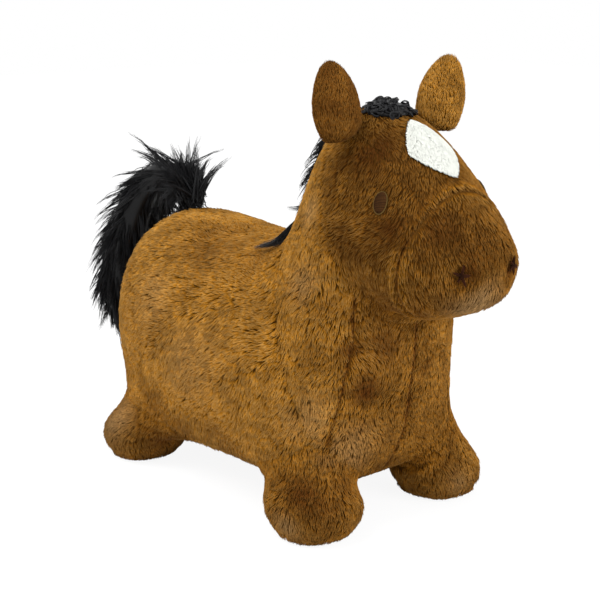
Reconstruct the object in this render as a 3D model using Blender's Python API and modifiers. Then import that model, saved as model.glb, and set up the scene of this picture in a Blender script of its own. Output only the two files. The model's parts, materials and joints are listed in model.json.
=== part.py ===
"""Plush-covered inflatable hopping horse, built from the pieces it is sewn and moulded from.

The horse looks along +X, its left side is +Y and +Z is up. The origin is on the floor,
under the middle of the whole horse. Every length is in metres.
"""
import math

import bmesh
import bpy
from mathutils import Matrix, Vector
from mathutils.bvhtree import BVHTree

# Trunk, as the control cage that the plush surface is smoothed from
TRUNK_LENGTH = 0.450
TRUNK_HEIGHT = 0.300
TRUNK_WIDTH = 0.296
BELLY_CLEARANCE = 0.0195

# Neck and head cage, measured from the throat
THROAT_REACH = 0.200
THROAT_HEIGHT = 0.235
HEAD_LENGTH = 0.122
HEAD_DEPTH = 0.232
HEAD_WIDTH = 0.200

# Legs and feet
FOOT_SPACING = 0.314
FRONT_TRACK = 0.184
REAR_TRACK = 0.210
LEG_LENGTH = 0.132
LEG_WIDTH = 0.122
LEG_BULGE_HEIGHT = 0.042
FOOT_WIDTH = 0.092
FOOT_CROWN = 0.012

# Plush cover and the clearances between sewn pieces
PLUSH_THICKNESS = 0.005
SEAM_GAP = 0.0003
SEAT_GAP = 0.0003

# Moulded bladder, its valve dimple and the plug
BLADDER_WALL = 0.0022
BLADDER_SLACK = 0.0006
VALVE_X = 0.010
DIMPLE_RADIUS = 0.019
DIMPLE_DEPTH = 0.019
DIMPLE_WALL = 0.003
VALVE_BORE_RADIUS = 0.0050
PLUG_CLEARANCE = 0.0003
PLUG_FLANGE_RADIUS = 0.0100
PLUG_FLANGE_THICKNESS = 0.0026
PLUG_TIP_TAPER = 0.0012
PLUG_OVERLENGTH = 0.004
PLUG_TAB_LENGTH = 0.006
PLUG_TAB_WIDTH = 0.009
PLUG_TAB_THICKNESS = 0.0022

# Belly zip
ZIP_X = -0.008
ZIP_LENGTH = 0.176
ZIP_SLOT_WIDTH = 0.017
ZIP_END_MARGIN = 0.0012
TAPE_THICKNESS = 0.0010
TOOTH_PITCH = 0.0042
TOOTH_LENGTH = 0.0023
TOOTH_REACH = 0.0030
TOOTH_THICKNESS = 0.0022
TOOTH_ROW_GAP = 0.0018
BEAD_WIDTH = 0.0010
STOP_LENGTH = 0.0050
SLIDER_LENGTH = 0.0120
SLIDER_WIDTH = 0.0110
SLIDER_PLATE = 0.0009
SLIDER_POST_WIDTH = 0.0011
SLIDER_POST_LENGTH = 0.0030
SLIDER_CLEARANCE = 0.0003
BAIL_THICKNESS = 0.0008
BAIL_WIDTH = 0.0016
BAIL_LENGTH = 0.0070
PULL_LENGTH = 0.0125
PULL_WIDTH = 0.0050
PULL_THICKNESS = 0.0011
PULL_EYE_LENGTH = 0.0048

# Ears
EAR_LENGTH = 0.081
EAR_WIDTH = 0.080
EAR_THICKNESS = 0.034
EAR_CUP = 0.006
EAR_PLUSH = 0.0022
EAR_RUNNING_GAP = 0.0005
EAR_SPREAD = 0.061
EAR_REACH = 0.168
EAR_SPLAY_DEG = 17.0
EAR_TURN_IN_DEG = 6.0

# Face pieces
EYE_LENGTH = 0.028
EYE_WIDTH = 0.018
EYE_CROWN = 0.003
EYE_REACH = 0.232
EYE_HEIGHT = 0.364
NOSTRIL_LENGTH = 0.026
NOSTRIL_WIDTH = 0.017
NOSTRIL_CROWN = 0.003
NOSTRIL_SPREAD = 0.036
NOSTRIL_HEIGHT = 0.303
BLAZE_LENGTH = 0.080
BLAZE_WIDTH = 0.058
BLAZE_THICKNESS = 0.0035
BLAZE_REACH = 0.229
BLAZE_POWER = 1.35

# Hair
FORELOCK_LENGTH = 0.050
FORELOCK_WIDTH = 0.052
FORELOCK_CROWN = 0.006
FORELOCK_REACH = 0.168
MANE_LENGTH = 0.150
MANE_WIDTH = 0.046
MANE_CROWN = 0.018
MANE_HEIGHT = 0.372
MANE_POWER = 3.0
TAIL_ROOT_RADIUS = 0.011
TAIL_RADIUS = 0.038
TAIL_TIP_RADIUS = 0.007
TAIL_RISE = 0.031
TAIL_REACH = 0.128
TAIL_SWAY = 0.042
TAIL_DROP = 0.215
TAIL_ROOT_REACH = -0.188

# One overrun for every cutter, and how far off the plush a piece is cast from
OVERRUN = 0.010
CAST_REACH = 0.060
MERGE_DISTANCE = 0.00005

# How the surfaces are worked out
COVER_LEVELS = 2
BLADDER_LEVELS = 1
CLEARING_PASSES = 16
SAMPLES_PER_EDGE = 5
TIGHTEST_CORNER_SHARE = 0.4
SHARP_EDGE_DEG = 40.0

# Cage rows: reach at the bottom, height at the bottom, reach at the top, height at the top, half width
TRUNK_RING_SHARES = (
    (-0.536, 0.268, -0.512, 0.828, 0.275),
    (-0.460, 0.055, -0.442, 0.990, 0.435),
    (-0.110, -0.012, -0.150, 0.925, 0.512),
    (0.204, -0.007, 0.093, 0.946, 0.473),
    (0.422, 0.075, 0.169, 1.128, 0.412),
)
HEAD_RING_SHARES = (
    (0.131, -0.237, -0.918, 0.782, 0.510),
    (0.123, 0.022, -0.656, 0.958, 0.500),
    (0.270, 0.008, -0.130, 0.990, 0.495),
    (0.400, 0.012, 0.690, 0.590, 0.425),
    (0.825, 0.085, 0.815, 0.470, 0.340),
)
RUMP_CAP_SHARES = ((-0.570, 0.435), (-0.562, 0.675))
NOSE_CAP_SHARES = ((1.006, 0.190), (0.950, 0.378))

# Ring outlines: share of the way up and share of the half width, from the bottom to the top
TRUNK_OUTLINE_SHARES = ((0.0, 0.0), (0.0, 0.30), (0.12, 0.84), (0.5, 1.0), (0.86, 0.72), (1.0, 0.0))
NECK_OUTLINE_SHARES = ((0.0, 0.0), (0.02, 0.38), (0.18, 0.86), (0.5, 1.0), (0.86, 0.68), (1.0, 0.0))
HEAD_OUTLINE_SHARES = ((0.0, 0.0), (0.02, 0.42), (0.22, 0.90), (0.54, 1.0), (0.87, 0.51), (1.0, 0.0))
FIRST_NECK_RING = 4
FIRST_HEAD_RING = 6
MUZZLE_RING = 8
REAR_LEG_BAND = 1
FRONT_LEG_BAND = 3
LEG_STRIP = 1
CHEST_COLUMNS = 3

# Ear cage rows: share of the length, share of the width, share of the thickness
EAR_RING_SHARES = (
    (0.0, 0.74, 0.50),
    (0.22, 0.94, 0.92),
    (0.52, 1.02, 0.80),
    (0.82, 0.70, 0.56),
    (1.0, 0.26, 0.30),
)
EAR_OUTLINE_SHARES = ((0.5, 0.0), (0.22, 0.5), (-0.22, 0.5), (-0.5, 0.0), (-0.22, -0.5), (0.22, -0.5))

# Tail path rows: share of the reach, of the sway, of the rise or the drop, and of the way to full radius
TAIL_PATH_SHARES = (
    (0.14, 0.03, 0.70, 0.22),
    (0.38, 0.14, 0.94, 0.60),
    (0.68, 0.36, 0.06, 0.78),
    (0.91, 0.64, -0.30, 1.0),
    (1.0, 0.90, -0.62, 0.80),
    (0.97, 1.0, -0.90, 0.05),
)
TAIL_ROOT_RINGS = 3
TAIL_STEPS = 3

# Colours, as 8-bit values of the screen
PLUSH_BROWN = (149, 106, 59)
PLUSH_DARK = (124, 85, 48)
HAIR_BLACK = (27, 27, 31)
BLAZE_WHITE = (234, 238, 236)
THREAD_BROWN = (70, 46, 31)
VINYL = (173, 149, 118)
STUFFING = (231, 230, 225)
TAPE_BROWN = (84, 63, 44)
ZIP_METAL = (122, 98, 74)

PANELS = (
    "side_panel", "neck_panel", "belly_panel", "chest_panel", "chin_panel", "cheek_panel",
    "forehead_panel", "muzzle_panel", "rear_leg_cover", "front_leg_cover", "rear_sole", "front_sole",
)
SINGLE_PANELS = ("chin_panel", "forehead_panel", "muzzle_panel")


def clear_scene():
    """Remove every object of the open scene."""
    for item in list(bpy.data.objects):
        bpy.data.objects.remove(item, do_unlink=True)


def new_collection(name):
    """Return a fresh collection linked to the scene."""
    made = bpy.data.collections.new(name)
    bpy.context.scene.collection.children.link(made)
    return made


def linear(level):
    """Return the linear value of an 8-bit screen colour level."""
    share = level / 255.0
    return share / 12.92 if share <= 0.04045 else ((share + 0.055) / 1.055) ** 2.4


def finish(name, screen_colour, roughness, metallic=0.0):
    """Return a Principled material."""
    colour = [linear(level) for level in screen_colour]
    made = bpy.data.materials.new(name)
    made.use_nodes = True
    shader = made.node_tree.nodes["Principled BSDF"]
    shader.inputs["Base Color"].default_value = (*colour, 1.0)
    shader.inputs["Roughness"].default_value = roughness
    shader.inputs["Metallic"].default_value = metallic
    made.diffuse_color = (*colour, 1.0)
    return made


def place(name, bm, material, collection, origin=(0.0, 0.0, 0.0)):
    """Turn a bmesh in world places into an object whose origin is on the given point."""
    bmesh.ops.recalc_face_normals(bm, faces=bm.faces[:])
    bmesh.ops.translate(bm, verts=bm.verts[:], vec=-Vector(origin))
    mesh = bpy.data.meshes.new(name)
    bm.to_mesh(mesh)
    bm.free()
    mesh.materials.clear()
    mesh.materials.append(material)
    mesh.polygons.foreach_set("material_index", [0] * len(mesh.polygons))
    mesh.shade_smooth()
    mesh.set_sharp_from_angle(angle=math.radians(SHARP_EDGE_DEG))
    made = bpy.data.objects.new(name, mesh)
    made.location = origin
    collection.objects.link(made)
    return made


def evaluated_copy(item):
    """Return a new mesh of an object with its modifiers applied."""
    depsgraph = bpy.context.evaluated_depsgraph_get()
    return bpy.data.meshes.new_from_object(item.evaluated_get(depsgraph))


def smoothed(bm, levels, mirrored):
    """Return the mesh of a cage after mirroring across Y and subdividing."""
    mesh = bpy.data.meshes.new("cage")
    bm.to_mesh(mesh)
    bm.free()
    cage = bpy.data.objects.new("cage", mesh)
    bpy.context.scene.collection.objects.link(cage)
    if mirrored:
        mirror = cage.modifiers.new("other half", "MIRROR")
        mirror.use_axis = (False, True, False)
        mirror.use_clip = True
        mirror.merge_threshold = MERGE_DISTANCE
    rounding = cage.modifiers.new("rounding", "SUBSURF")
    rounding.levels = levels
    rounding.render_levels = levels
    made = evaluated_copy(cage)
    bpy.data.objects.remove(cage)
    return made


def trunk_point(reach_share, height_share):
    """Return reach and height of a trunk cage point."""
    return reach_share * TRUNK_LENGTH, BELLY_CLEARANCE + height_share * TRUNK_HEIGHT


def head_point(reach_share, height_share):
    """Return reach and height of a neck or head cage point."""
    return THROAT_REACH + reach_share * HEAD_LENGTH, THROAT_HEIGHT + height_share * HEAD_DEPTH


def ring_outline(index):
    """Return the outline shares of a cage ring."""
    if index < FIRST_NECK_RING:
        return TRUNK_OUTLINE_SHARES
    if index < FIRST_HEAD_RING:
        return NECK_OUTLINE_SHARES
    return HEAD_OUTLINE_SHARES


def cage_rings():
    """Return each ring of the left half as points from the bottom line to the top line."""
    ends = [
        (trunk_point(row[0], row[1]), trunk_point(row[2], row[3]), row[4] * TRUNK_WIDTH)
        for row in TRUNK_RING_SHARES
    ]
    ends += [
        (head_point(row[0], row[1]), head_point(row[2], row[3]), row[4] * HEAD_WIDTH)
        for row in HEAD_RING_SHARES
    ]
    rings = []
    for index, (low, high, half_width) in enumerate(ends):
        ring = []
        for up, out in ring_outline(index):
            reach = low[0] + (high[0] - low[0]) * up
            height = low[1] + (high[1] - low[1]) * up
            ring.append(Vector((reach, out * half_width, height)))
        rings.append(ring)
    return rings


def band_panel(band, strip):
    """Return the panel that a cage face belongs to, by its band along and its strip around."""
    if strip == 0:
        if band < FRONT_LEG_BAND:
            return "belly_panel"
        return "chest_panel" if band < FIRST_HEAD_RING else "chin_panel"
    if band >= MUZZLE_RING:
        return "muzzle_panel"
    if band >= FIRST_HEAD_RING:
        return "forehead_panel" if strip == 4 else "cheek_panel"
    return "neck_panel" if band >= FIRST_NECK_RING else "side_panel"


def close_ring(bm, ring, low, high, panel):
    """Close an end ring with three faces that meet on two middle points."""
    lower = bm.verts.new((low[0], 0.0, low[1]))
    upper = bm.verts.new((high[0], 0.0, high[1]))
    bottom, middle, top = (ring[0], ring[1], ring[2]), (ring[2], ring[3]), (ring[3], ring[4], ring[5])
    for corners in ((*bottom, lower), (lower, *middle, upper), (upper, *top)):
        bm.faces.new(corners).material_index = PANELS.index(panel)


def grow_leg(bm, face, centre_x, centre_y, cover, sole):
    """Draw one leg and its foot out of a cage face."""
    levels = (
        (centre_x, centre_y, LEG_BULGE_HEIGHT, LEG_LENGTH / 2.0, LEG_WIDTH / 2.0),
        (centre_x, centre_y, -FOOT_CROWN, FOOT_WIDTH / 2.0, FOOT_WIDTH / 2.0),
    )
    for reach, side, height, half_length, half_width in levels:
        before = set(bm.faces)
        grown = bmesh.ops.extrude_discrete_faces(bm, faces=[face])["faces"][0]
        for wall in set(bm.faces) - before:
            wall.material_index = PANELS.index(cover)
        grown.material_index = PANELS.index(sole)
        corners = sorted(grown.verts, key=lambda v: v.co.x)
        for pair, along in ((corners[:2], -1.0), (corners[2:], 1.0)):
            for corner, out in zip(sorted(pair, key=lambda v: v.co.y), (-1.0, 1.0)):
                corner.co = (reach + along * half_length, side + out * half_width, height)
        face = grown


def widen_panel(mesh, panel, neighbour, columns):
    """Give a panel so many columns of faces of the panel beside it."""
    wide, beside = PANELS.index(panel), PANELS.index(neighbour)
    for _ in range(columns):
        edges = {key for face in mesh.polygons if face.material_index == wide for key in face.edge_keys}
        for face in mesh.polygons:
            if face.material_index == beside and edges.intersection(face.edge_keys):
                face.material_index = wide


def skin_mesh(levels):
    """Return the closed plush surface of body, legs, neck and head; material slots tell the panels."""
    bm = bmesh.new()
    rings = [[bm.verts.new(point) for point in ring] for ring in cage_rings()]
    leg_faces = {}
    for band in range(len(rings) - 1):
        for strip in range(len(rings[0]) - 1):
            face = bm.faces.new((
                rings[band][strip], rings[band + 1][strip],
                rings[band + 1][strip + 1], rings[band][strip + 1],
            ))
            face.material_index = PANELS.index(band_panel(band, strip))
            leg_faces[(band, strip)] = face
    close_ring(
        bm, rings[0], trunk_point(*RUMP_CAP_SHARES[0]), trunk_point(*RUMP_CAP_SHARES[1]), "side_panel"
    )
    close_ring(
        bm, rings[-1], head_point(*NOSE_CAP_SHARES[0]), head_point(*NOSE_CAP_SHARES[1]), "muzzle_panel"
    )
    bmesh.ops.recalc_face_normals(bm, faces=bm.faces[:])
    for end, band, way, track in (
        ("rear", REAR_LEG_BAND, -1.0, REAR_TRACK), ("front", FRONT_LEG_BAND, 1.0, FRONT_TRACK)
    ):
        face = leg_faces[(band, LEG_STRIP)]
        grow_leg(bm, face, way * FOOT_SPACING / 2.0, track / 2.0, f"{end}_leg_cover", f"{end}_sole")
    bmesh.ops.recalc_face_normals(bm, faces=bm.faces[:])
    mesh = smoothed(bm, levels, mirrored=True)
    widen_panel(mesh, "chest_panel", "neck_panel", CHEST_COLUMNS)
    flat = set()
    for face in mesh.polygons:
        if PANELS[face.material_index].endswith("sole"):
            flat.update(face.vertices)
    for vertex in mesh.vertices:
        if vertex.index in flat or vertex.co.z < 0.0:
            vertex.co.z = 0.0
    return mesh


def tree_of(mesh):
    """Return a search tree of a mesh."""
    return BVHTree.FromPolygons([v.co for v in mesh.vertices], [f.vertices[:] for f in mesh.polygons])


def edge_inward(face, edge, normal):
    """Return the unit direction in the surface that leads from a rim edge into the face."""
    along = (edge.verts[1].co - edge.verts[0].co).normalized()
    inward = face.calc_center_median() - (edge.verts[0].co + edge.verts[1].co) / 2.0
    inward -= along * inward.dot(along)
    inward -= normal * inward.dot(normal)
    return inward.normalized()


def draw_in_rim(bm, distance, layer):
    """Move the open rim of a surface inward along the surface by a distance."""
    moves = {}
    for vertex in bm.verts:
        rims = [edge for edge in vertex.link_edges if edge.is_boundary]
        if len(rims) < 2:
            continue
        normal = Vector(vertex[layer]).normalized()
        inwards = [edge_inward(edge.link_faces[0], edge, normal) for edge in rims[:2]]
        total = inwards[0] + inwards[1]
        spread = max(1.0 + inwards[0].dot(inwards[1]), TIGHTEST_CORNER_SHARE)
        moves[vertex] = total / spread * distance
    for vertex, move in moves.items():
        vertex.co += move
        vertex.co.z = max(vertex.co.z, 0.0)


def shell_piece(name, skin, keeps, thickness, material, collection):
    """Cut the faces that a test keeps out of a closed surface and give them a thickness inward."""
    bm = bmesh.new()
    bm.from_mesh(skin)
    bm.normal_update()
    layer = bm.verts.layers.float_vector.new("inward")
    for vertex in bm.verts:
        vertex[layer] = vertex.normal * vertex.calc_shell_factor()
    dropped = [face for face in bm.faces if not keeps(face)]
    bmesh.ops.delete(bm, geom=dropped, context="FACES")
    draw_in_rim(bm, SEAM_GAP / 2.0, layer)
    outer = bm.faces[:]
    rims = [edge for edge in bm.edges if edge.is_boundary]
    inner = {vertex: bm.verts.new(vertex.co - Vector(vertex[layer]) * thickness) for vertex in bm.verts[:]}
    for face in outer:
        bm.faces.new([inner[vertex] for vertex in reversed(face.verts)])
    for edge in rims:
        first, second = edge.verts
        bm.faces.new((first, second, inner[second], inner[first]))
    return place(name, bm, material, collection)


def inset_mesh(mesh, depth):
    """Return a copy of a closed mesh drawn inward by a depth."""
    bm = bmesh.new()
    bm.from_mesh(mesh)
    bm.normal_update()
    places = [v.co - v.normal * v.calc_shell_factor() * depth for v in bm.verts]
    for vertex, spot in zip(bm.verts, places):
        vertex.co = spot
    made = bpy.data.meshes.new("inset")
    bm.to_mesh(made)
    bm.free()
    return made


def triangle_samples(parts_each_way):
    """Return the corner weights of points spread evenly over a triangle."""
    weights = []
    for i in range(parts_each_way + 1):
        for j in range(parts_each_way + 1 - i):
            k = parts_each_way - i - j
            weights.append((i / parts_each_way, j / parts_each_way, k / parts_each_way))
    return weights


def too_near(faces, tree, clearance, outside):
    """Return how far each corner has to move for its faces to lie clear of a surface."""
    weights = triangle_samples(SAMPLES_PER_EDGE)
    facing = -1.0 if outside else 1.0
    moves = {}
    for face in faces:
        corners = face.verts
        for shares in weights:
            point = corners[0].co * shares[0] + corners[1].co * shares[1] + corners[2].co * shares[2]
            spot, normal, _, distance = tree.find_nearest(point)
            room = math.copysign(distance, (spot - point).dot(normal) * facing) - clearance
            if room >= 0.0:
                continue
            for corner, share in zip(corners, shares):
                if share > 0.0:
                    moves[corner] = max(moves.get(corner, 0.0), -room)
    return moves


def draw_clear(mesh, cover_tree, clearance):
    """Draw a closed mesh inward wherever its surface comes too near the cover."""
    bm = bmesh.new()
    bm.from_mesh(mesh)
    bmesh.ops.triangulate(bm, faces=bm.faces[:])
    for _ in range(CLEARING_PASSES):
        bm.normal_update()
        moves = too_near(bm.faces, cover_tree, clearance, outside=False)
        if not moves:
            break
        for corner, move in moves.items():
            corner.co -= corner.normal * (move + clearance / 4.0)
    made = bpy.data.meshes.new("bladder")
    bm.to_mesh(made)
    bm.free()
    return made


def cutter_from(mesh_or_bm, name, cutters):
    """Return a hidden cutter object."""
    mesh = mesh_or_bm
    if isinstance(mesh_or_bm, bmesh.types.BMesh):
        mesh = bpy.data.meshes.new(name)
        mesh_or_bm.to_mesh(mesh)
        mesh_or_bm.free()
    made = bpy.data.objects.new(name, mesh)
    made.hide_render = True
    made.display_type = "WIRE"
    cutters.objects.link(made)
    return made


def subtract(item, cutter):
    """Cut one object by another."""
    cut = item.modifiers.new(cutter.name, "BOOLEAN")
    cut.operation = "DIFFERENCE"
    cut.object = cutter


def join_box(item, name, size, centre, cutters):
    """Join a box to a piece; the box's centre is given from the piece's origin."""
    bm = bmesh.new()
    box(bm, size, centre)
    helper = cutter_from(bm, name, cutters)
    helper.location = item.location
    union = item.modifiers.new(name, "BOOLEAN")
    union.operation = "UNION"
    union.object = helper


def upright_cylinder(radius, bottom, top, x, segments):
    """Return a bmesh cylinder that stands on the middle plane."""
    bm = bmesh.new()
    bmesh.ops.create_cone(
        bm, cap_ends=True, segments=segments, radius1=radius, radius2=radius, depth=top - bottom,
        matrix=Matrix.Translation((x, 0.0, (bottom + top) / 2.0)),
    )
    return bm


def box(bm, size, centre):
    """Add a box to a bmesh."""
    shape = Matrix.Translation(centre) @ Matrix.Diagonal((*size, 1.0))
    return bmesh.ops.create_cube(bm, size=1.0, matrix=shape)["verts"]


class Levels:
    """Heights along the belly line that the zip and the valve share."""

    def __init__(self, skin_tree):
        hit = skin_tree.ray_cast(Vector((ZIP_X, 0.0, -OVERRUN)), Vector((0.0, 0.0, 1.0)))[0]
        self.belly = hit.z
        self.zip_middle = self.belly + PLUSH_THICKNESS / 2.0
        self.bladder = self.belly + PLUSH_THICKNESS + BLADDER_SLACK
        self.dimple_floor = self.bladder + DIMPLE_DEPTH


def build_cover(skin, materials, parts):
    """Build every plush panel of body, legs and head."""
    for index, panel in enumerate(PANELS):
        dark = panel in ("cheek_panel", "forehead_panel", "muzzle_panel", "chin_panel")
        material = materials["head plush" if dark else "plush"]
        if panel in SINGLE_PANELS:
            shell_piece(
                panel, skin, lambda face, k=index: face.material_index == k,
                PLUSH_THICKNESS, material, parts,
            )
            continue
        for side, sign in (("left", 1.0), ("right", -1.0)):
            shell_piece(
                f"{panel}_{side}", skin,
                lambda face, k=index, s=sign: face.material_index == k
                and face.calc_center_median().y * s > 0.0,
                PLUSH_THICKNESS, material, parts,
            )


def build_bladder(skin, coarse_skin, levels, materials, parts, cutters):
    """Build the hollow moulded bladder with its valve dimple."""
    cover_tree = tree_of(inset_mesh(skin, PLUSH_THICKNESS))
    outer = draw_clear(inset_mesh(coarse_skin, PLUSH_THICKNESS), cover_tree, BLADDER_SLACK)
    bm = bmesh.new()
    bm.from_mesh(outer)
    bladder = place("bladder", bm, materials["vinyl"], parts)
    void = cutter_from(inset_mesh(outer, BLADDER_WALL), "bladder_void", cutters)
    boss = cutter_from(
        upright_cylinder(
            DIMPLE_RADIUS + DIMPLE_WALL, levels.belly, levels.dimple_floor + DIMPLE_WALL, VALVE_X, 24
        ), "dimple_boss", cutters,
    )
    subtract(void, boss)
    dimple = cutter_from(
        upright_cylinder(DIMPLE_RADIUS, levels.belly, levels.dimple_floor, VALVE_X, 24), "dimple", cutters
    )
    bore_bottom = levels.dimple_floor - OVERRUN / 2.0
    bore = cutter_from(
        upright_cylinder(VALVE_BORE_RADIUS, bore_bottom, levels.dimple_floor + OVERRUN, VALVE_X, 16),
        "valve_bore", cutters,
    )
    for cutter in (void, dimple, bore):
        subtract(bladder, cutter)


def build_plug(levels, materials, parts, cutters):
    """Build the push-in valve plug, turned round its stem, with its pull tab."""
    seat = levels.dimple_floor - SEAT_GAP
    stem = VALVE_BORE_RADIUS - PLUG_CLEARANCE
    tip = seat + DIMPLE_WALL + PLUG_OVERLENGTH
    profile = (
        (0.0, tip), (stem - PLUG_TIP_TAPER, tip), (stem, tip - 2.0 * PLUG_TIP_TAPER), (stem, seat),
        (PLUG_FLANGE_RADIUS, seat), (PLUG_FLANGE_RADIUS, seat - PLUG_FLANGE_THICKNESS),
        (0.0, seat - PLUG_FLANGE_THICKNESS),
    )
    bm = bmesh.new()
    verts = [bm.verts.new((radius, 0.0, height)) for radius, height in profile]
    edges = [bm.edges.new(pair) for pair in zip(verts, verts[1:])]
    bmesh.ops.spin(
        bm, geom=verts + edges, cent=(0.0, 0.0, 0.0), axis=(0.0, 0.0, 1.0), angle=math.tau, steps=16
    )
    bmesh.ops.remove_doubles(bm, verts=bm.verts[:], dist=MERGE_DISTANCE)
    bmesh.ops.translate(bm, verts=bm.verts[:], vec=(VALVE_X, 0.0, 0.0))
    plug = place("valve_plug", bm, materials["plug"], parts, (VALVE_X, 0.0, seat))
    tab_height = PLUG_TAB_LENGTH + PLUG_FLANGE_THICKNESS / 2.0
    join_box(
        plug, "plug_tab", (PLUG_TAB_WIDTH, PLUG_TAB_THICKNESS, tab_height),
        (0.0, 0.0, -PLUG_FLANGE_THICKNESS / 2.0 - tab_height / 2.0), cutters,
    )


def slab(outline, bottom, thickness):
    """Return a bmesh plate from a flat outline of reach and side."""
    bm = bmesh.new()
    base = bm.faces.new([bm.verts.new((x, y, bottom)) for x, y in outline])
    grown = bmesh.ops.extrude_face_region(bm, geom=[base], use_keep_orig=True)["geom"]
    raised = [item for item in grown if isinstance(item, bmesh.types.BMVert)]
    bmesh.ops.translate(bm, verts=raised, vec=(0.0, 0.0, thickness))
    return bm


def teeth_outline(first, count, root, sign):
    """Return the outline of a row of teeth on their bead, which the tape carries."""
    back = sign * (root + BEAD_WIDTH)
    start = first - TOOTH_PITCH / 2.0
    end = first + (count - 0.5) * TOOTH_PITCH
    outline = [(end, back), (start, back), (start, sign * root)]
    for index in range(count):
        middle = first + index * TOOTH_PITCH
        for along, side in (
            (-TOOTH_LENGTH / 2.0, root), (-TOOTH_LENGTH / 2.0, root - TOOTH_REACH),
            (TOOTH_LENGTH / 2.0, root - TOOTH_REACH), (TOOTH_LENGTH / 2.0, root),
        ):
            outline.append((middle + along, sign * side))
    outline.append((end, sign * root))
    return outline


def build_zip(levels, materials, parts, cutters):
    """Build the belly zip and cut its slot into the two belly panels."""
    middle = levels.zip_middle
    slot_bm = bmesh.new()
    box(slot_bm, (ZIP_LENGTH + 2.0 * ZIP_END_MARGIN, ZIP_SLOT_WIDTH, 2.0 * OVERRUN), (ZIP_X, 0.0, middle))
    slot = cutter_from(slot_bm, "zip_slot", cutters)
    for side in ("left", "right"):
        subtract(bpy.data.objects[f"belly_panel_{side}"], slot)
    root = TOOTH_ROW_GAP / 2.0 + TOOTH_REACH
    tape_inner = root + BEAD_WIDTH + SEAT_GAP
    tape_outer = ZIP_SLOT_WIDTH / 2.0 - SEAM_GAP
    count = int((ZIP_LENGTH - 2.0 * STOP_LENGTH - TOOTH_PITCH / 2.0) / TOOTH_PITCH)
    first = ZIP_X - (count - 1) * TOOTH_PITCH / 2.0
    for side, sign in (("left", 1.0), ("right", -1.0)):
        bm = bmesh.new()
        box(
            bm, (ZIP_LENGTH, tape_outer - tape_inner, TAPE_THICKNESS),
            (ZIP_X, sign * (tape_inner + tape_outer) / 2.0, middle),
        )
        place(f"zip_tape_{side}", bm, materials["tape"], parts)
        outline = teeth_outline(first + sign * TOOTH_PITCH / 4.0, count, root, sign)
        bm = slab(outline, middle - TOOTH_THICKNESS / 2.0, TOOTH_THICKNESS)
        place(f"zip_teeth_{side}", bm, materials["metal"], parts)
    for name, end in (("zip_stop_rear", -1.0), ("zip_stop_front", 1.0)):
        bm = bmesh.new()
        centre = ZIP_X + end * (ZIP_LENGTH - STOP_LENGTH) / 2.0
        box(bm, (STOP_LENGTH - SEAT_GAP, 2.0 * root, TOOTH_THICKNESS), (centre, 0.0, middle))
        place(name, bm, materials["metal"], parts)
    build_slider(levels, materials, parts, cutters)


def build_slider(levels, materials, parts, cutters):
    """Build the zip slider with its bail, and the pull that hangs in it."""
    middle = levels.zip_middle
    x = ZIP_X + ZIP_LENGTH / 2.0 - STOP_LENGTH - SEAT_GAP - SLIDER_LENGTH / 2.0
    gap = TOOTH_THICKNESS / 2.0 + SLIDER_CLEARANCE
    post = bmesh.new()
    box(post, (SLIDER_POST_LENGTH, SLIDER_POST_WIDTH, 2.0 * gap + SLIDER_PLATE), (x, 0.0, middle))
    slider = place("zip_slider", post, materials["metal"], parts, (x, 0.0, middle))
    low = -gap - SLIDER_PLATE
    for name, up in (("upper_plate", 1.0), ("lower_plate", -1.0)):
        height = up * (gap + SLIDER_PLATE / 2.0)
        join_box(slider, name, (SLIDER_LENGTH, SLIDER_WIDTH, SLIDER_PLATE), (0.0, 0.0, height), cutters)
    bail_gap = PULL_THICKNESS * math.sqrt(2.0) + 2.0 * SLIDER_CLEARANCE
    bar_height = low - bail_gap - BAIL_THICKNESS / 2.0
    leg_height = low + SLIDER_PLATE / 2.0 - bar_height
    for name, end in (("bail_rear", -1.0), ("bail_front", 1.0)):
        join_box(
            slider, name, (BAIL_THICKNESS, BAIL_WIDTH, leg_height),
            (end * BAIL_LENGTH / 2.0, 0.0, bar_height + leg_height / 2.0), cutters,
        )
    join_box(
        slider, "bail_bar", (BAIL_LENGTH + BAIL_THICKNESS, BAIL_WIDTH, BAIL_THICKNESS),
        (0.0, 0.0, bar_height), cutters,
    )
    build_pull(x, middle + low - bail_gap / 2.0, materials, parts)


def build_pull(x, pivot, materials, parts):
    """Build the pull: a plate whose eye goes round the bail, so that it swings on its own top bar."""
    top = PULL_THICKNESS / 2.0
    eye_width = BAIL_WIDTH + 2.0 * SLIDER_CLEARANCE
    outline, eye = (
        ((-half, high), (half, high), (half, high - length), (-half, high - length))
        for half, high, length in (
            (PULL_WIDTH / 2.0, top, PULL_LENGTH), (eye_width / 2.0, -top, PULL_EYE_LENGTH)
        )
    )
    bm = bmesh.new()
    half = PULL_THICKNESS / 2.0
    rows = []
    for corners in (outline, eye):
        for side in (-half, half):
            rows.append([bm.verts.new((x + side, y, pivot + z)) for y, z in corners])
    outer_back, outer_front, eye_back, eye_front = rows
    count = len(outline)
    for i in range(count):
        j = (i + 1) % count
        bm.faces.new((outer_front[i], outer_front[j], eye_front[j], eye_front[i]))
        bm.faces.new((outer_back[j], outer_back[i], eye_back[i], eye_back[j]))
        bm.faces.new((outer_back[i], outer_back[j], outer_front[j], outer_front[i]))
        bm.faces.new((eye_front[i], eye_front[j], eye_back[j], eye_back[i]))
    place("zip_pull", bm, materials["metal"], parts, (x, 0.0, pivot))


def patch_fan(bm, rows, segments):
    """Join rings of points round one middle point with triangles."""
    made = []
    for step in range(segments):
        after = (step + 1) % segments
        made.append(bm.faces.new((rows[0][0], rows[1][step], rows[1][after])))
        for low, high in zip(rows[1:], rows[2:]):
            made.append(bm.faces.new((low[step], high[step], high[after])))
            made.append(bm.faces.new((low[step], high[after], low[after])))
    return made


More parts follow.
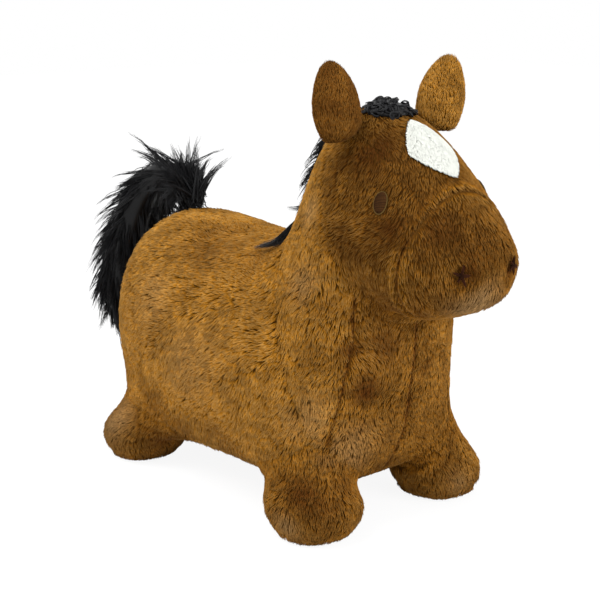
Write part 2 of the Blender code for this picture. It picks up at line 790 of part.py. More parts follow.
def patch(name, tree, centre, outward, along, outline, crown, edge, material, parts, rings=3, segments=24):
    """Build a pillow that is sewn flat on the plush, from rings of points cast on the surface."""
    outward = outward.normalized()
    along = (along - outward * along.dot(outward)).normalized()
    across = outward.cross(along)
    bm = bmesh.new()
    bottoms, lifts = [], {}
    for ring in range(rings + 1):
        share = ring / rings
        row = []
        for step in range(segments if ring else 1):
            u, v = outline(math.tau * step / segments)
            start = centre + (along * u + across * v) * share + outward * (crown + CAST_REACH)
            spot, normal, _, _ = tree.ray_cast(start, -outward)
            corner = bm.verts.new(spot + normal * SEAT_GAP)
            lifts[corner] = (normal, edge + (crown - edge) * math.sqrt(max(1.0 - share * share, 0.0)))
            row.append(corner)
        bottoms.append(row)
    under = patch_fan(bm, bottoms, segments)
    for _ in range(CLEARING_PASSES):
        moves = too_near(under, tree, SEAT_GAP, outside=True)
        if not moves:
            break
        for corner, move in moves.items():
            corner.co += lifts[corner][0] * (move + SEAT_GAP / 10.0)
    tops = [
        [bm.verts.new(corner.co + lifts[corner][0] * lifts[corner][1]) for corner in row] for row in bottoms
    ]
    patch_fan(bm, tops, segments)
    for step in range(segments):
        after = (step + 1) % segments
        bm.faces.new((bottoms[-1][step], bottoms[-1][after], tops[-1][after], tops[-1][step]))
    return place(name, bm, material, parts)


def ellipse(length, width, power=2.0):
    """Return an outline function of an oval, squarer with a higher power."""
    def outline(angle):
        c, s = math.cos(angle), math.sin(angle)
        u = math.copysign(abs(c) ** (2.0 / power), c) * length / 2.0
        v = math.copysign(abs(s) ** (2.0 / power), s) * width / 2.0
        return u, v
    return outline


def build_face(tree, materials, parts):
    """Build blaze, eyes, nostrils, forelock and mane on the plush."""
    forward = Vector((1.0, 0.0, 0.0))
    up = Vector((0.0, 0.0, 1.0))
    spot = tree.ray_cast(Vector((BLAZE_REACH, 0.0, 2.0 * HEAD_DEPTH + THROAT_HEIGHT)), -up)
    patch(
        "blaze", tree, spot[0], spot[1], forward - up, ellipse(BLAZE_LENGTH, BLAZE_WIDTH, BLAZE_POWER),
        BLAZE_THICKNESS, BLAZE_THICKNESS / 2.0, materials["blaze"], parts,
    )
    for side, sign in (("left", 1.0), ("right", -1.0)):
        outward = Vector((0.0, sign, 0.0))
        spot = tree.ray_cast(Vector((EYE_REACH, sign * HEAD_WIDTH, EYE_HEIGHT)), -outward)
        patch(
            f"eye_{side}", tree, spot[0], spot[1], up, ellipse(EYE_LENGTH, EYE_WIDTH), EYE_CROWN,
            EYE_CROWN / 3.0, materials["thread"], parts, rings=2, segments=16,
        )
        start = Vector((THROAT_REACH + 2.0 * HEAD_LENGTH, sign * NOSTRIL_SPREAD, NOSTRIL_HEIGHT))
        spot = tree.ray_cast(start, -forward)
        patch(
            f"nostril_{side}", tree, spot[0], spot[1], Vector((0.0, sign, 1.0)),
            ellipse(NOSTRIL_LENGTH, NOSTRIL_WIDTH), NOSTRIL_CROWN, NOSTRIL_CROWN / 3.0,
            materials["thread"], parts, rings=2, segments=16,
        )
    spot = tree.ray_cast(Vector((FORELOCK_REACH, 0.0, 2.0 * HEAD_DEPTH + THROAT_HEIGHT)), -up)
    patch(
        "forelock", tree, spot[0], spot[1], forward, ellipse(FORELOCK_LENGTH, FORELOCK_WIDTH),
        FORELOCK_CROWN, FORELOCK_CROWN / 3.0, materials["hair"], parts, segments=20,
    )
    spot = tree.ray_cast(Vector((-TRUNK_LENGTH, 0.0, MANE_HEIGHT)), forward)
    patch(
        "mane", tree, spot[0], spot[1], up, ellipse(MANE_LENGTH, MANE_WIDTH, MANE_POWER),
        MANE_CROWN, MANE_CROWN / 3.0, materials["hair"], parts, rings=4, segments=28,
    )


def ear_skin(inset):
    """Return a closed ear surface that stands on the origin, hollow side to +X, drawn in by an inset."""
    bm = bmesh.new()
    rows = []
    for up, width, thickness in EAR_RING_SHARES:
        cup = EAR_CUP * math.sin(math.pi * up)
        row = []
        for across, out in EAR_OUTLINE_SHARES:
            hollow = cup * (0.5 - abs(across))
            row.append(bm.verts.new((
                out * (thickness * EAR_THICKNESS - 2.0 * inset) - hollow,
                across * (width * EAR_WIDTH - 3.0 * inset),
                inset + up * (EAR_LENGTH - 3.0 * inset),
            )))
        rows.append(row)
    count = len(EAR_OUTLINE_SHARES)
    for low, high in zip(rows, rows[1:]):
        for i in range(count):
            j = (i + 1) % count
            face = bm.faces.new((low[i], low[j], high[j], high[i]))
            face.material_index = 0 if i < count // 2 else 1
    for row in (rows[0], rows[-1]):
        bm.faces.new((row[0], row[1], row[2], row[3])).material_index = 0
        bm.faces.new((row[3], row[4], row[5], row[0])).material_index = 1
    bmesh.ops.recalc_face_normals(bm, faces=bm.faces[:])
    return smoothed(bm, 1, mirrored=False)


def seat_ear(skin, tree, sign):
    """Turn an ear's surface into its place, so that its foot lies just above the plush."""
    splay = Matrix.Rotation(-sign * math.radians(EAR_SPLAY_DEG), 4, "X")
    turn = splay @ Matrix.Rotation(-sign * math.radians(EAR_TURN_IN_DEG), 4, "Z")
    direction = splay.to_3x3() @ Vector((0.0, 0.0, 1.0))
    above = Vector((EAR_REACH, sign * EAR_SPREAD, THROAT_HEIGHT + 2.0 * HEAD_DEPTH))
    spot = tree.ray_cast(above, Vector((0.0, 0.0, -1.0)))[0]
    mesh = skin.copy()
    mesh.transform(Matrix.Translation(spot) @ turn)
    room = []
    for vertex in mesh.vertices:
        hit = tree.ray_cast(vertex.co + direction * EAR_LENGTH, -direction)
        if hit[0] is not None:
            room.append(hit[3] - EAR_LENGTH)
    move = direction * (EAR_RUNNING_GAP - min(room))
    mesh.transform(Matrix.Translation(move))
    pivot = spot + move + direction * (EAR_THICKNESS * EAR_RING_SHARES[0][2] / 2.0)
    return mesh, pivot, Matrix.Translation(spot + move) @ turn


def build_ears(tree, materials, parts):
    """Build both ears: a front and a back piece round a stuffing pad."""
    skin = ear_skin(0.0)
    pad = ear_skin(EAR_PLUSH + 2.0 * SEAT_GAP)
    for side, sign in (("left", 1.0), ("right", -1.0)):
        mesh, pivot, seat = seat_ear(skin, tree, sign)
        for slot, half in ((0, "front"), (1, "back")):
            piece = shell_piece(
                f"ear_{half}_{side}", mesh, lambda face, k=slot: face.material_index == k,
                EAR_PLUSH, materials["head plush"], parts,
            )
            set_origin(piece, pivot)
        bm = bmesh.new()
        bm.from_mesh(pad)
        bm.transform(seat)
        place(f"ear_pad_{side}", bm, materials["stuffing"], parts, pivot)


def set_origin(item, point):
    """Move an object's origin to a point and leave its shape where it is."""
    item.data.transform(Matrix.Translation(item.location - Vector(point)))
    item.location = point


def tail_rings(root, normal):
    """Return the path points and radii of the tail: a round root on the plush, then the plume."""
    rings = []
    for turn in range(TAIL_ROOT_RINGS):
        angle = math.pi / 2.0 * (turn + 0.5) / TAIL_ROOT_RINGS
        along = TAIL_ROOT_RADIUS * (1.0 - math.cos(angle))
        rings.append((root + normal * along, TAIL_ROOT_RADIUS * math.sin(angle)))
    start = root + normal * TAIL_ROOT_RADIUS
    rings.append((start, TAIL_ROOT_RADIUS))
    for index, (reach, sway, height, full) in enumerate(TAIL_PATH_SHARES):
        spot = Vector((
            start.x - reach * TAIL_REACH, start.y - sway * TAIL_SWAY,
            start.z + height * (TAIL_RISE if height > 0.0 else TAIL_DROP),
        ))
        least = TAIL_TIP_RADIUS if index > len(TAIL_PATH_SHARES) // 2 else TAIL_ROOT_RADIUS
        rings.append((spot, least + (TAIL_RADIUS - least) * full))
    return rings


def rounded_path(rings, steps):
    """Return more rings on a smooth curve through the given ones."""
    ends = [rings[0]] + rings + [rings[-1]]
    made = []
    for before, first, second, after in zip(ends, ends[1:], ends[2:], ends[3:]):
        for step in range(steps):
            t = step / steps
            weights = (
                (2.0 - t) * t * t - t, (3.0 * t - 5.0) * t * t + 2.0,
                (4.0 - 3.0 * t) * t * t + t, (t - 1.0) * t * t,
            )
            spot = Vector((0.0, 0.0, 0.0))
            radius = 0.0
            for weight, (point, size) in zip(weights, (before, first, second, after)):
                spot += point * (weight / 2.0)
                radius += size * (weight / 2.0)
            made.append((spot, radius))
    return made + [rings[-1]]


def build_tail(tree, materials, parts):
    """Build the hanging plume of the tail as a tapered tube on a smooth path."""
    above = Vector((TAIL_ROOT_REACH, 0.0, BELLY_CLEARANCE + 2.0 * TRUNK_HEIGHT))
    hit, normal, _, _ = tree.ray_cast(above, Vector((0.0, 0.0, -1.0)))
    normal = Vector((normal.x, 0.0, normal.z)).normalized()
    rings = tail_rings(hit + normal * SEAT_GAP, normal)
    rings = rings[:TAIL_ROOT_RINGS] + rounded_path(rings[TAIL_ROOT_RINGS:], TAIL_STEPS)
    curve = bpy.data.curves.new("tail", "CURVE")
    curve.dimensions = "3D"
    curve.bevel_depth = 1.0
    curve.bevel_resolution = 3
    curve.use_fill_caps = True
    spline = curve.splines.new("POLY")
    spline.points.add(len(rings) - 1)
    for point, (spot, radius) in zip(spline.points, rings):
        point.co = (*spot, 1.0)
        point.radius = radius
    helper = bpy.data.objects.new("tail_curve", curve)
    bpy.context.scene.collection.objects.link(helper)
    mesh = evaluated_copy(helper)
    bpy.data.objects.remove(helper)
    bm = bmesh.new()
    bm.from_mesh(mesh)
    bmesh.ops.remove_doubles(bm, verts=bm.verts[:], dist=MERGE_DISTANCE)
    place("tail", bm, materials["hair"], parts, hit + normal * (SEAT_GAP + TAIL_ROOT_RADIUS))


def centre_horse(parts, cutters):
    """Move every piece along X so that the origin lies under the middle of the horse."""
    bpy.context.view_layer.update()
    reaches = [
        (item.matrix_world @ Vector(corner)).x for item in parts.objects for corner in item.bound_box
    ]
    shift = (min(reaches) + max(reaches)) / 2.0
    for item in list(parts.objects) + list(cutters.objects):
        item.location.x -= shift


def main():
    """Build the horse."""
    clear_scene()
    parts = new_collection("hopping_horse")
    cutters = new_collection("cutters")
    materials = {
        "plush": finish("golden brown plush", PLUSH_BROWN, 0.95),
        "head plush": finish("darker brown plush", PLUSH_DARK, 0.95),
        "hair": finish("black long pile", HAIR_BLACK, 0.6),
        "blaze": finish("white short pile", BLAZE_WHITE, 0.95),
        "thread": finish("brown embroidery thread", THREAD_BROWN, 0.5),
        "vinyl": finish("moulded vinyl", VINYL, 0.45),
        "plug": finish("vinyl plug", BLAZE_WHITE, 0.4),
        "stuffing": finish("polyester stuffing", STUFFING, 1.0),
        "tape": finish("woven zip tape", TAPE_BROWN, 0.85),
        "metal": finish("zip metal", ZIP_METAL, 0.35, 1.0),
    }
    skin = skin_mesh(COVER_LEVELS)
    coarse_skin = skin_mesh(BLADDER_LEVELS)
    tree = tree_of(skin)
    levels = Levels(tree)
    build_cover(skin, materials, parts)
    build_bladder(skin, coarse_skin, levels, materials, parts, cutters)
    build_plug(levels, materials, parts, cutters)
    build_zip(levels, materials, parts, cutters)
    build_face(tree, materials, parts)
    build_ears(tree, materials, parts)
    build_tail(tree, materials, parts)
    centre_horse(parts, cutters)


main()
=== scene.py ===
"""Looks of the plush-covered hopping horse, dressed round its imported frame.

The horse looks along +X, its left side is +Y and +Z is up, in metres, as the frame is.
The cover's cloth and its pile, the hair, the thread work, the belly zip and the bladder are
built here from the frame's own pieces, each by a class that makes and dresses its meshes.
"""

import json
import logging
import math
from dataclasses import dataclass, field
from enum import Enum
from functools import partial
from typing import Any, Callable, Sequence

import bmesh
import bpy
import numpy as np
from mathutils import Matrix, Vector, noise
from mathutils.bvhtree import BVHTree
from mathutils.kdtree import KDTree

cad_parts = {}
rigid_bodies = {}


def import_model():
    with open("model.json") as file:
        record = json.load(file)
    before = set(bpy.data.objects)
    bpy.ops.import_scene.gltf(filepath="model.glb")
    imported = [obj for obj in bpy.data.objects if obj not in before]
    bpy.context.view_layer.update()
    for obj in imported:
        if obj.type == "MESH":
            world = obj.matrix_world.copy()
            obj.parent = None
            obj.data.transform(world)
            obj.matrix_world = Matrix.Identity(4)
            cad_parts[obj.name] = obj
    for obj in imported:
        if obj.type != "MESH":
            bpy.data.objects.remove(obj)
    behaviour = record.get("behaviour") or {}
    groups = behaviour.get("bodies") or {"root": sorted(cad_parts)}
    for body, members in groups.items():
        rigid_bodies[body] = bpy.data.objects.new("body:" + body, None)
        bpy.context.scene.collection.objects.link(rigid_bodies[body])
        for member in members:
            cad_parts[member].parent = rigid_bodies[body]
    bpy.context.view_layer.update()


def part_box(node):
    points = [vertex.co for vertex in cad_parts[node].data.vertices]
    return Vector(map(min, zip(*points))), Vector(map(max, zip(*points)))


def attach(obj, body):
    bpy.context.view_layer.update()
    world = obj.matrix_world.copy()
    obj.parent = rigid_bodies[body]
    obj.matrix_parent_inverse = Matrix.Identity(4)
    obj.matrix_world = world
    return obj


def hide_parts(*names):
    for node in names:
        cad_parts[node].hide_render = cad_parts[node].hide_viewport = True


log = logging.getLogger("horse")

MM_PER_METRE = 1000
CAD_WELD = 0.00001
FLOOR_REST = 0.0003

Pair = tuple[float, float]
Triple = tuple[float, float, float]
Lines = list[np.ndarray]
Adder = Callable[..., bpy.types.Node]
Materials = dict[str, bpy.types.Material]


class Side(Enum):
    """The two sides of the horse, with the sign of their Y."""

    LEFT = 1
    RIGHT = -1

    @property
    def word(self) -> str:
        """The side's name as the nodes end in it."""
        return self.name.lower()


def linear(screen: str) -> tuple[float, float, float, float]:
    """Turn an sRGB hex colour, such as "A0703A", into the linear one that a shader reads."""
    levels = (int(screen[place:place + 2], 16) / 255 for place in (0, 2, 4))
    return (*(v / 12.92 if v <= 0.04045 else ((v + 0.055) / 1.055) ** 2.4 for v in levels), 1.0)


def connect(node: bpy.types.Node, inputs: dict[str | int, Any]) -> None:
    """Give a node its values and links.

    Args:
        node: the node.
        inputs: values, sockets or nodes whose first live output is meant, by socket name or number.
    """
    for key, value in inputs.items():
        live = [socket for socket in node.inputs if socket.enabled]
        socket = live[key] if isinstance(key, int) else next(s for s in live if s.name == key)
        if isinstance(value, bpy.types.Node):
            value = next(s for s in value.outputs if s.enabled)
        if isinstance(value, bpy.types.NodeSocket):
            node.id_data.links.new(value, socket)
        else:
            socket.default_value = value


def add_node(tree: bpy.types.NodeTree, kind: str, inputs: dict[str | int, Any] | None = None,
             **settings: Any) -> bpy.types.Node:
    """Add one node with its settings, values and links.

    Args:
        tree: the node tree that gets it.
        kind: the node's type.
        inputs: what connect reads.
        settings: properties of the node, by name.

    Returns:
        The new node.
    """
    made = tree.nodes.new(kind)
    for name, value in settings.items():
        setattr(made, name, value)
    connect(made, inputs or {})
    return made


def new_geometry_tree(name: str, inputs: dict[str, Any]) -> tuple[bpy.types.NodeTree, Adder, Any]:
    """Start a Geometry Nodes tree with named inputs.

    Args:
        name: the tree's name.
        inputs: for each input its default, whose type says what it holds, or else its socket type.

    Returns:
        The tree, what adds nodes to it, and the sockets of its inputs.
    """
    tree = bpy.data.node_groups.new(name, "GeometryNodeTree")
    for way in ("INPUT", "OUTPUT"):
        tree.interface.new_socket("Geometry", in_out=way, socket_type="NodeSocketGeometry")
    kinds = {float: "NodeSocketFloat", int: "NodeSocketInt"}
    for title, default in inputs.items():
        kind = kinds.get(type(default), default)
        socket = tree.interface.new_socket(title, in_out="INPUT", socket_type=kind)
        if kind != default:
            socket.default_value = default
    add = partial(add_node, tree)
    return tree, add, add("NodeGroupInput").outputs


def evaluated(host: bpy.types.Object) -> bpy.types.Mesh:
    """Take an object's mesh as its modifiers leave it.

    Args:
        host: the object.

    Returns:
        A new mesh.
    """
    bpy.context.view_layer.update()
    graph = bpy.context.evaluated_depsgraph_get()
    return bpy.data.meshes.new_from_object(host.evaluated_get(graph), preserve_all_data_layers=True,
                                           depsgraph=graph)


def new_object(name: str, data: bpy.types.ID) -> bpy.types.Object:
    """Link a mesh, a camera or a lamp to the scene as an object at the origin.

    Args:
        name: the object's name.
        data: what it shows.

    Returns:
        The object.
    """
    made = bpy.data.objects.new(name, data)
    bpy.context.scene.collection.objects.link(made)
    return made


def drop(item: bpy.types.Object) -> None:
    """Remove a helper object from the file."""
    bpy.data.objects.remove(item, do_unlink=True)


def grow(tree: bpy.types.NodeTree, name: str, base: bpy.types.Mesh,
         values: dict[str, Any]) -> bpy.types.Object:
    """Run a Geometry Nodes tree on a mesh and keep the result as a plain object.

    Args:
        tree: the tree.
        name: the new object's name.
        base: the mesh that the tree starts from.
        values: the tree's inputs, by their names.

    Returns:
        The object, at the origin and with no modifier.
    """
    host = new_object("host_" + name, base)
    modifier = host.modifiers.new(tree.name, "NODES")
    modifier.node_group = tree
    for item in tree.interface.items_tree:
        if item.item_type == "SOCKET" and item.in_out == "INPUT" and item.name in values:
            modifier[item.identifier] = values[item.name]
    mesh = evaluated(host)
    mesh.name = name
    host.modifiers.remove(modifier)
    drop(host)
    return new_object(name, mesh)


def dress(item: bpy.types.Object, body: str, finish: bpy.types.Material | None = None,
          instead_of: tuple[str, ...] = ()) -> None:
    """Put a finished piece on its body, give it its material where one is given, hide the nodes that it
    stands for, and report it.

    Args:
        item: the piece.
        body: the body that it rides on.
        finish: its material, where the mesh has none yet.
        instead_of: the nodes that it stands for.
    """
    if finish is not None:
        item.data.materials.clear()
        item.data.materials.append(finish)
    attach(item, body)
    if instead_of:
        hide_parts(*instead_of)
    count = sum(len(face.vertices) - 2 for face in item.data.polygons)
    log.info("%s: %d triangles on %s", item.name, count, body)


def merged_copy(node: str) -> bmesh.types.BMesh:
    """Copy a node's loose triangles into one joined mesh.

    Args:
        node: the node's name.

    Returns:
        A new bmesh, with the doubles merged.
    """
    found = bmesh.new()
    found.from_mesh(bpy.data.objects[node].data)
    bmesh.ops.remove_doubles(found, verts=found.verts[:], dist=CAD_WELD)
    return found


def finished_mesh(part: bmesh.types.BMesh, name: str) -> bpy.types.Mesh:
    """Turn a bmesh into a smooth-shaded mesh.

    Args:
        part: the bmesh, which is used up.
        name: the mesh's name.

    Returns:
        The mesh.
    """
    mesh = bpy.data.meshes.new(name)
    part.to_mesh(mesh)
    part.free()
    mesh.shade_smooth()
    return mesh


def part_of(mesh: bpy.types.Mesh, keep: np.ndarray, name: str) -> bpy.types.Mesh:
    """Cut the faces that are marked true out of a mesh, as a mesh of their own.

    Args:
        mesh: the mesh, which is left as it is.
        keep: true for each face that is wanted, in order.
        name: the new mesh's name.

    Returns:
        The wanted faces, with the mesh's attributes.
    """
    part = bmesh.new()
    part.from_mesh(mesh)
    others = [face for face, wanted in zip(part.faces, keep) if not wanted]
    bmesh.ops.delete(part, geom=others, context="FACES")
    for face in part.faces:
        face.material_index = 0
    return finished_mesh(part, name)


def subdivided(mesh: bpy.types.Mesh, levels: int, holds: int = 2) -> bpy.types.Mesh:
    """Smooth a mesh by subdivision and keep the result.

    Args:
        mesh: the control mesh, which is used up.
        levels: how many times it is subdivided.
        holds: how often its points are moved out, so that the smooth form passes through where they were.

    Returns:
        The finer mesh.
    """
    host = new_object("subdivided", mesh)
    modifier = host.modifiers.new("smooth", "SUBSURF")
    modifier.levels = modifier.render_levels = levels
    wanted = read_vectors(mesh.vertices, "co")
    for turn in range(holds + 1):
        made = evaluated(host)
        if turn < holds:
            short = wanted - read_vectors(made.vertices, "co")[:len(wanted)]
            move_points(mesh, read_vectors(mesh.vertices, "co") + short)
            host.update_tag()
            bpy.data.meshes.remove(made)
    drop(host)
    made.shade_smooth()
    return made


def thickened(mesh: bpy.types.Mesh, thickness: float) -> bpy.types.Mesh:
    """Give a copy of an open sheet its thickness, inwards, so that it is closed.

    Args:
        mesh: the sheet, which is left as it is.
        thickness: in metres.

    Returns:
        A new closed mesh.
    """
    host = new_object("thickened", mesh.copy())
    modifier = host.modifiers.new("thickness", "SOLIDIFY")
    modifier.thickness = thickness
    modifier.offset = -1.0
    made = evaluated(host)
    drop(host)
    return made


def rounded(node: str) -> bpy.types.Mesh:
    """Copy a node's form and smooth it."""
    return subdivided(finished_mesh(merged_copy(node), node + "_cage"), 1)


def read_vectors(items: Any, name: str) -> np.ndarray:
    """Read a vector property of many mesh items as rows of three numbers.

    Args:
        items: a mesh's vertices.
        name: the property.

    Returns:
        An array with a row for each item.
    """
    flat = np.zeros(len(items) * 3, np.float64)
    items.foreach_get(name, flat)
    return flat.reshape(-1, 3)


def move_points(mesh: bpy.types.Mesh, points: np.ndarray) -> None:
    """Move a mesh's vertices to new places."""
    mesh.vertices.foreach_set("co", points.astype(np.float32).ravel())
    mesh.update()


def write_attribute(mesh: bpy.types.Mesh, name: str, values: np.ndarray) -> None:
    """Store one value or vector for each vertex of a mesh.

    Args:
        mesh: the mesh.
        name: the attribute's name.
        values: a number, or a row for a vector, for each vertex.
    """
    vector = values.ndim == 2
    made = mesh.attributes.new(name, "FLOAT_VECTOR" if vector else "FLOAT", "POINT")
    made.data.foreach_set("vector" if vector else "value", values.astype(np.float32).ravel())


def unit_rows(rows: np.ndarray) -> np.ndarray:
    """Scale each row to length one."""
    return rows / np.maximum(np.linalg.norm(rows, axis=1, keepdims=True), 1e-9)


def turned_towards(axis: np.ndarray, way: Sequence[float]) -> np.ndarray:
    """Give an axis the sign that points it along a way."""
    return -axis if axis @ np.array(way) < 0 else axis


def surface_tree(mesh: bpy.types.Mesh) -> BVHTree:
    """Make a search tree of a mesh's faces."""
    return BVHTree.FromPolygons([v.co for v in mesh.vertices], [p.vertices[:] for p in mesh.polygons])


def point_tree(points: Sequence[Any]) -> KDTree:
    """Make a search tree of points, numbered in their order.

    Args:
        points: the points.

    Returns:
        The tree.
    """
    known = KDTree(len(points))
    for place, point in enumerate(points):
        known.insert(point, place)
    known.balance()
    return known


def smoothed(values: np.ndarray, edges: np.ndarray, passes: int) -> np.ndarray:
    """Average values with their neighbours along the edges.

    Args:
        values: a row or a number for each vertex.
        edges: pairs of vertex numbers.
        passes: how many times.

    Returns:
        The smoothed values.
    """
    rows = values.reshape(len(values), -1).astype(float)
    both = np.concatenate([edges, edges[:, ::-1]])
    count = np.bincount(both[:, 0], minlength=len(rows))[:, None] + 1.0
    for _ in range(passes):
        total = rows.copy()
        for column in range(rows.shape[1]):
            total[:, column] += np.bincount(both[:, 0], rows[both[:, 1], column], minlength=len(rows))
        rows = total / count
    return rows.reshape(values.shape)


@dataclass(frozen=True)
class Finish:
    """What every finish has: a name, and a Principled shader whose inputs it works out."""

    name: str

    def inputs(self, add: Adder) -> dict[str, Any]:
        """Add the finish's nodes and name what the shader's inputs get."""
        raise NotImplementedError

    def material(self) -> bpy.types.Material:
        """Make the material.

        Returns:
            The material, with its nodes linked to its shader.
        """
        made = bpy.data.materials.new(self.name)
        made.use_nodes = True
        shader = made.node_tree.nodes["Principled BSDF"]
        connect(shader, self.inputs(partial(add_node, made.node_tree)))
        return made


@dataclass(frozen=True)
class PlushFinish(Finish):
    """Long-pile polyester plush: soft curved locks, pale golden tips over brown roots, a matt bloom.

    The pile has two sets of colours, each for the root, the body and the tip of a tuft. The
    warmth of a place mixes them, and its painted shading mixes in a darker colour as painted shade
    or a paler one as painted light.
    """

    cool: tuple[str, str, str]
    warm: tuple[str, str, str]
    pressed: str
    pale: str = "B8976A"
    roughness: float = 0.85
    sheen: float = 0.04
    sheen_colour: str = "E8C08A"
    specular: float = 0.04
    softness: float = 0.75
    tint_range: Pair = (0.84, 1.16)
    cloud_mm: float = 30.0
    streak_share: float = 2.4
    cloud: float = 0.24
    cloud_warmth: float = 0.9
    body_place: float = 0.45

    def inputs(self, add: Adder) -> dict[str, Any]:
        """Build the colour and the softened normal from the pile's own attributes.

        Args:
            add: adds a node to the material's tree.

        Returns:
            What the shader's inputs get, by name.
        """
        along, tint, warmth, press, facing = (
            add("ShaderNodeAttribute", attribute_name=name).outputs
            for name in ("along", "tint", "warmth", "press", "facing"))
        place = add("ShaderNodeTexCoord").outputs["Object"]
        scale = MM_PER_METRE / self.cloud_mm
        wide = add("ShaderNodeTexNoise", {"Vector": place, "Scale": scale, "Detail": 3.0, "Distortion": 0.6})
        flattened = add("ShaderNodeMapping", {"Vector": place, "Scale": (0.5, 0.5, 1.7)})
        streaks = add("ShaderNodeTexNoise", {"Vector": flattened, "Scale": scale * self.streak_share,
                                             "Detail": 2.0, "Distortion": 1.0})
        summed = add("ShaderNodeMath", {0: wide, 1: streaks}, operation="ADD")
        clouded = add("ShaderNodeMapRange", {"Value": summed, "From Min": 0.72, "From Max": 1.28,
                                             "To Min": 1 - self.cloud, "To Max": 1 + self.cloud})
        shifted = add("ShaderNodeMapRange", {"Value": wide, "To Min": -self.cloud_warmth / 2,
                                             "To Max": self.cloud_warmth / 2}, clamp=False)
        warmed = add("ShaderNodeMath", {0: warmth["Fac"], 1: shifted}, operation="ADD", use_clamp=True)
        ramps = []
        # Each ramp runs from the root to the tip; its darker root is partly the pile's own colour and partly
        # painted shade down among the tufts
        for root, body, tip in (self.cool, self.warm):
            ramps.append(add("ShaderNodeValToRGB", {"Fac": along["Fac"]}))
            stops = ramps[-1].color_ramp.elements
            stops[0].color = linear(root)
            stops[1].color = linear(tip)
            stops.new(self.body_place).color = linear(body)
        mixed = add("ShaderNodeMix", {"Factor": warmed, "A": ramps[0], "B": ramps[1]}, data_type="RGBA")
        low, high = self.tint_range
        shade = add("ShaderNodeMapRange", {"Value": tint["Fac"], "To Min": low, "To Max": high})
        level = add("ShaderNodeMath", {0: shade, 1: clouded}, operation="MULTIPLY")
        lit = add("ShaderNodeVectorMath", {"Vector": mixed, "Scale": level}, operation="SCALE")
        # Below zero the painted shading pales the colour as painted light, above zero it darkens it as
        # painted shade
        faint = add("ShaderNodeMath", {0: press["Fac"], 1: -1.0}, operation="MULTIPLY")
        paled = add("ShaderNodeMix", {"Factor": faint, "A": lit, "B": linear(self.pale)}, data_type="RGBA")
        with_painted_shade = add("ShaderNodeMix", {"Factor": press["Fac"], "A": paled, "B": linear(self.pressed)},
                   data_type="RGBA")
        turned = add("ShaderNodeVectorTransform", {"Vector": facing["Vector"]}, vector_type="NORMAL",
                     convert_from="OBJECT", convert_to="WORLD")
        own = add("ShaderNodeNewGeometry").outputs["Normal"]
        softened = add("ShaderNodeMix", {"Factor": self.softness, "A": own, "B": turned}, data_type="VECTOR")
        evened = add("ShaderNodeVectorMath", {0: softened}, operation="NORMALIZE")
        return {"Base Color": with_painted_shade, "Normal": evened, "Roughness": self.roughness,
                "Specular IOR Level": self.specular, "Sheen Weight": self.sheen, "Sheen Roughness": 0.5,
                "Sheen Tint": linear(self.sheen_colour)}


@dataclass(frozen=True)
class MottledFinish(Finish):
    """A matt moulded, knitted or spun surface: one colour clouded by another, with a fine raised grain."""

    base: str
    cloud: str
    grain_mm: float
    roughness: float
    bump_mm: float = 0.2
    metallic: float = 0.0
    specular: float = 0.5
    coat: float = 0.0
    polish_range: float = 0.08
    cloud_share: float = 12.0

    def inputs(self, add: Adder) -> dict[str, Any]:
        """Build the colour, polish and relief from noise of the grain's real size.

        Args:
            add: adds a node to the material's tree.

        Returns:
            What the shader's inputs get, by name.
        """
        place = add("ShaderNodeTexCoord").outputs["Object"]
        scale = MM_PER_METRE / self.grain_mm
        grain = add("ShaderNodeTexNoise", {"Vector": place, "Scale": scale, "Detail": 3.0})
        wide = add("ShaderNodeTexNoise", {"Vector": place, "Scale": scale / self.cloud_share, "Detail": 2.0})
        share = add("ShaderNodeMath", {0: grain, 1: wide}, operation="MULTIPLY")
        spread = add("ShaderNodeMapRange", {"Value": share, "From Min": 0.12, "From Max": 0.42})
        colour = add("ShaderNodeMix", {"Factor": spread, "A": linear(self.base), "B": linear(self.cloud)},
                     data_type="RGBA")
        polish = add("ShaderNodeMapRange", {"Value": grain, "To Min": self.roughness - self.polish_range,
                                            "To Max": self.roughness + self.polish_range})
        raised = add("ShaderNodeBump",
                     {"Strength": 0.6, "Distance": self.bump_mm / MM_PER_METRE, "Height": grain})
        return {"Base Color": colour, "Roughness": polish, "Normal": raised, "Metallic": self.metallic,
                "Specular IOR Level": self.specular, "Coat Weight": self.coat}


@dataclass(frozen=True)
class FibreFinish(Finish):
    """Spun or grown strands: colour changes along each strand and between strands, with a long gloss."""

    root: str
    tip: str
    roughness: float
    specular: float = 0.5
    tint_range: Pair = (0.55, 1.5)

    def inputs(self, add: Adder) -> dict[str, Any]:
        """Build the colour from the strands' own attributes.

        Args:
            add: adds a node to the material's tree.

        Returns:
            What the shader's inputs get, by name.
        """
        along, tint = (add("ShaderNodeAttribute", attribute_name=name).outputs["Fac"]
                       for name in ("along", "tint"))
        blend = add("ShaderNodeMix", {"Factor": along, "A": linear(self.root), "B": linear(self.tip)},
                    data_type="RGBA")
        low, high = self.tint_range
        shade = add("ShaderNodeMapRange", {"Value": tint, "To Min": low, "To Max": high})
        lit = add("ShaderNodeVectorMath", {"Vector": blend, "Scale": shade}, operation="SCALE")
        return {"Base Color": lit, "Roughness": self.roughness, "Specular IOR Level": self.specular}


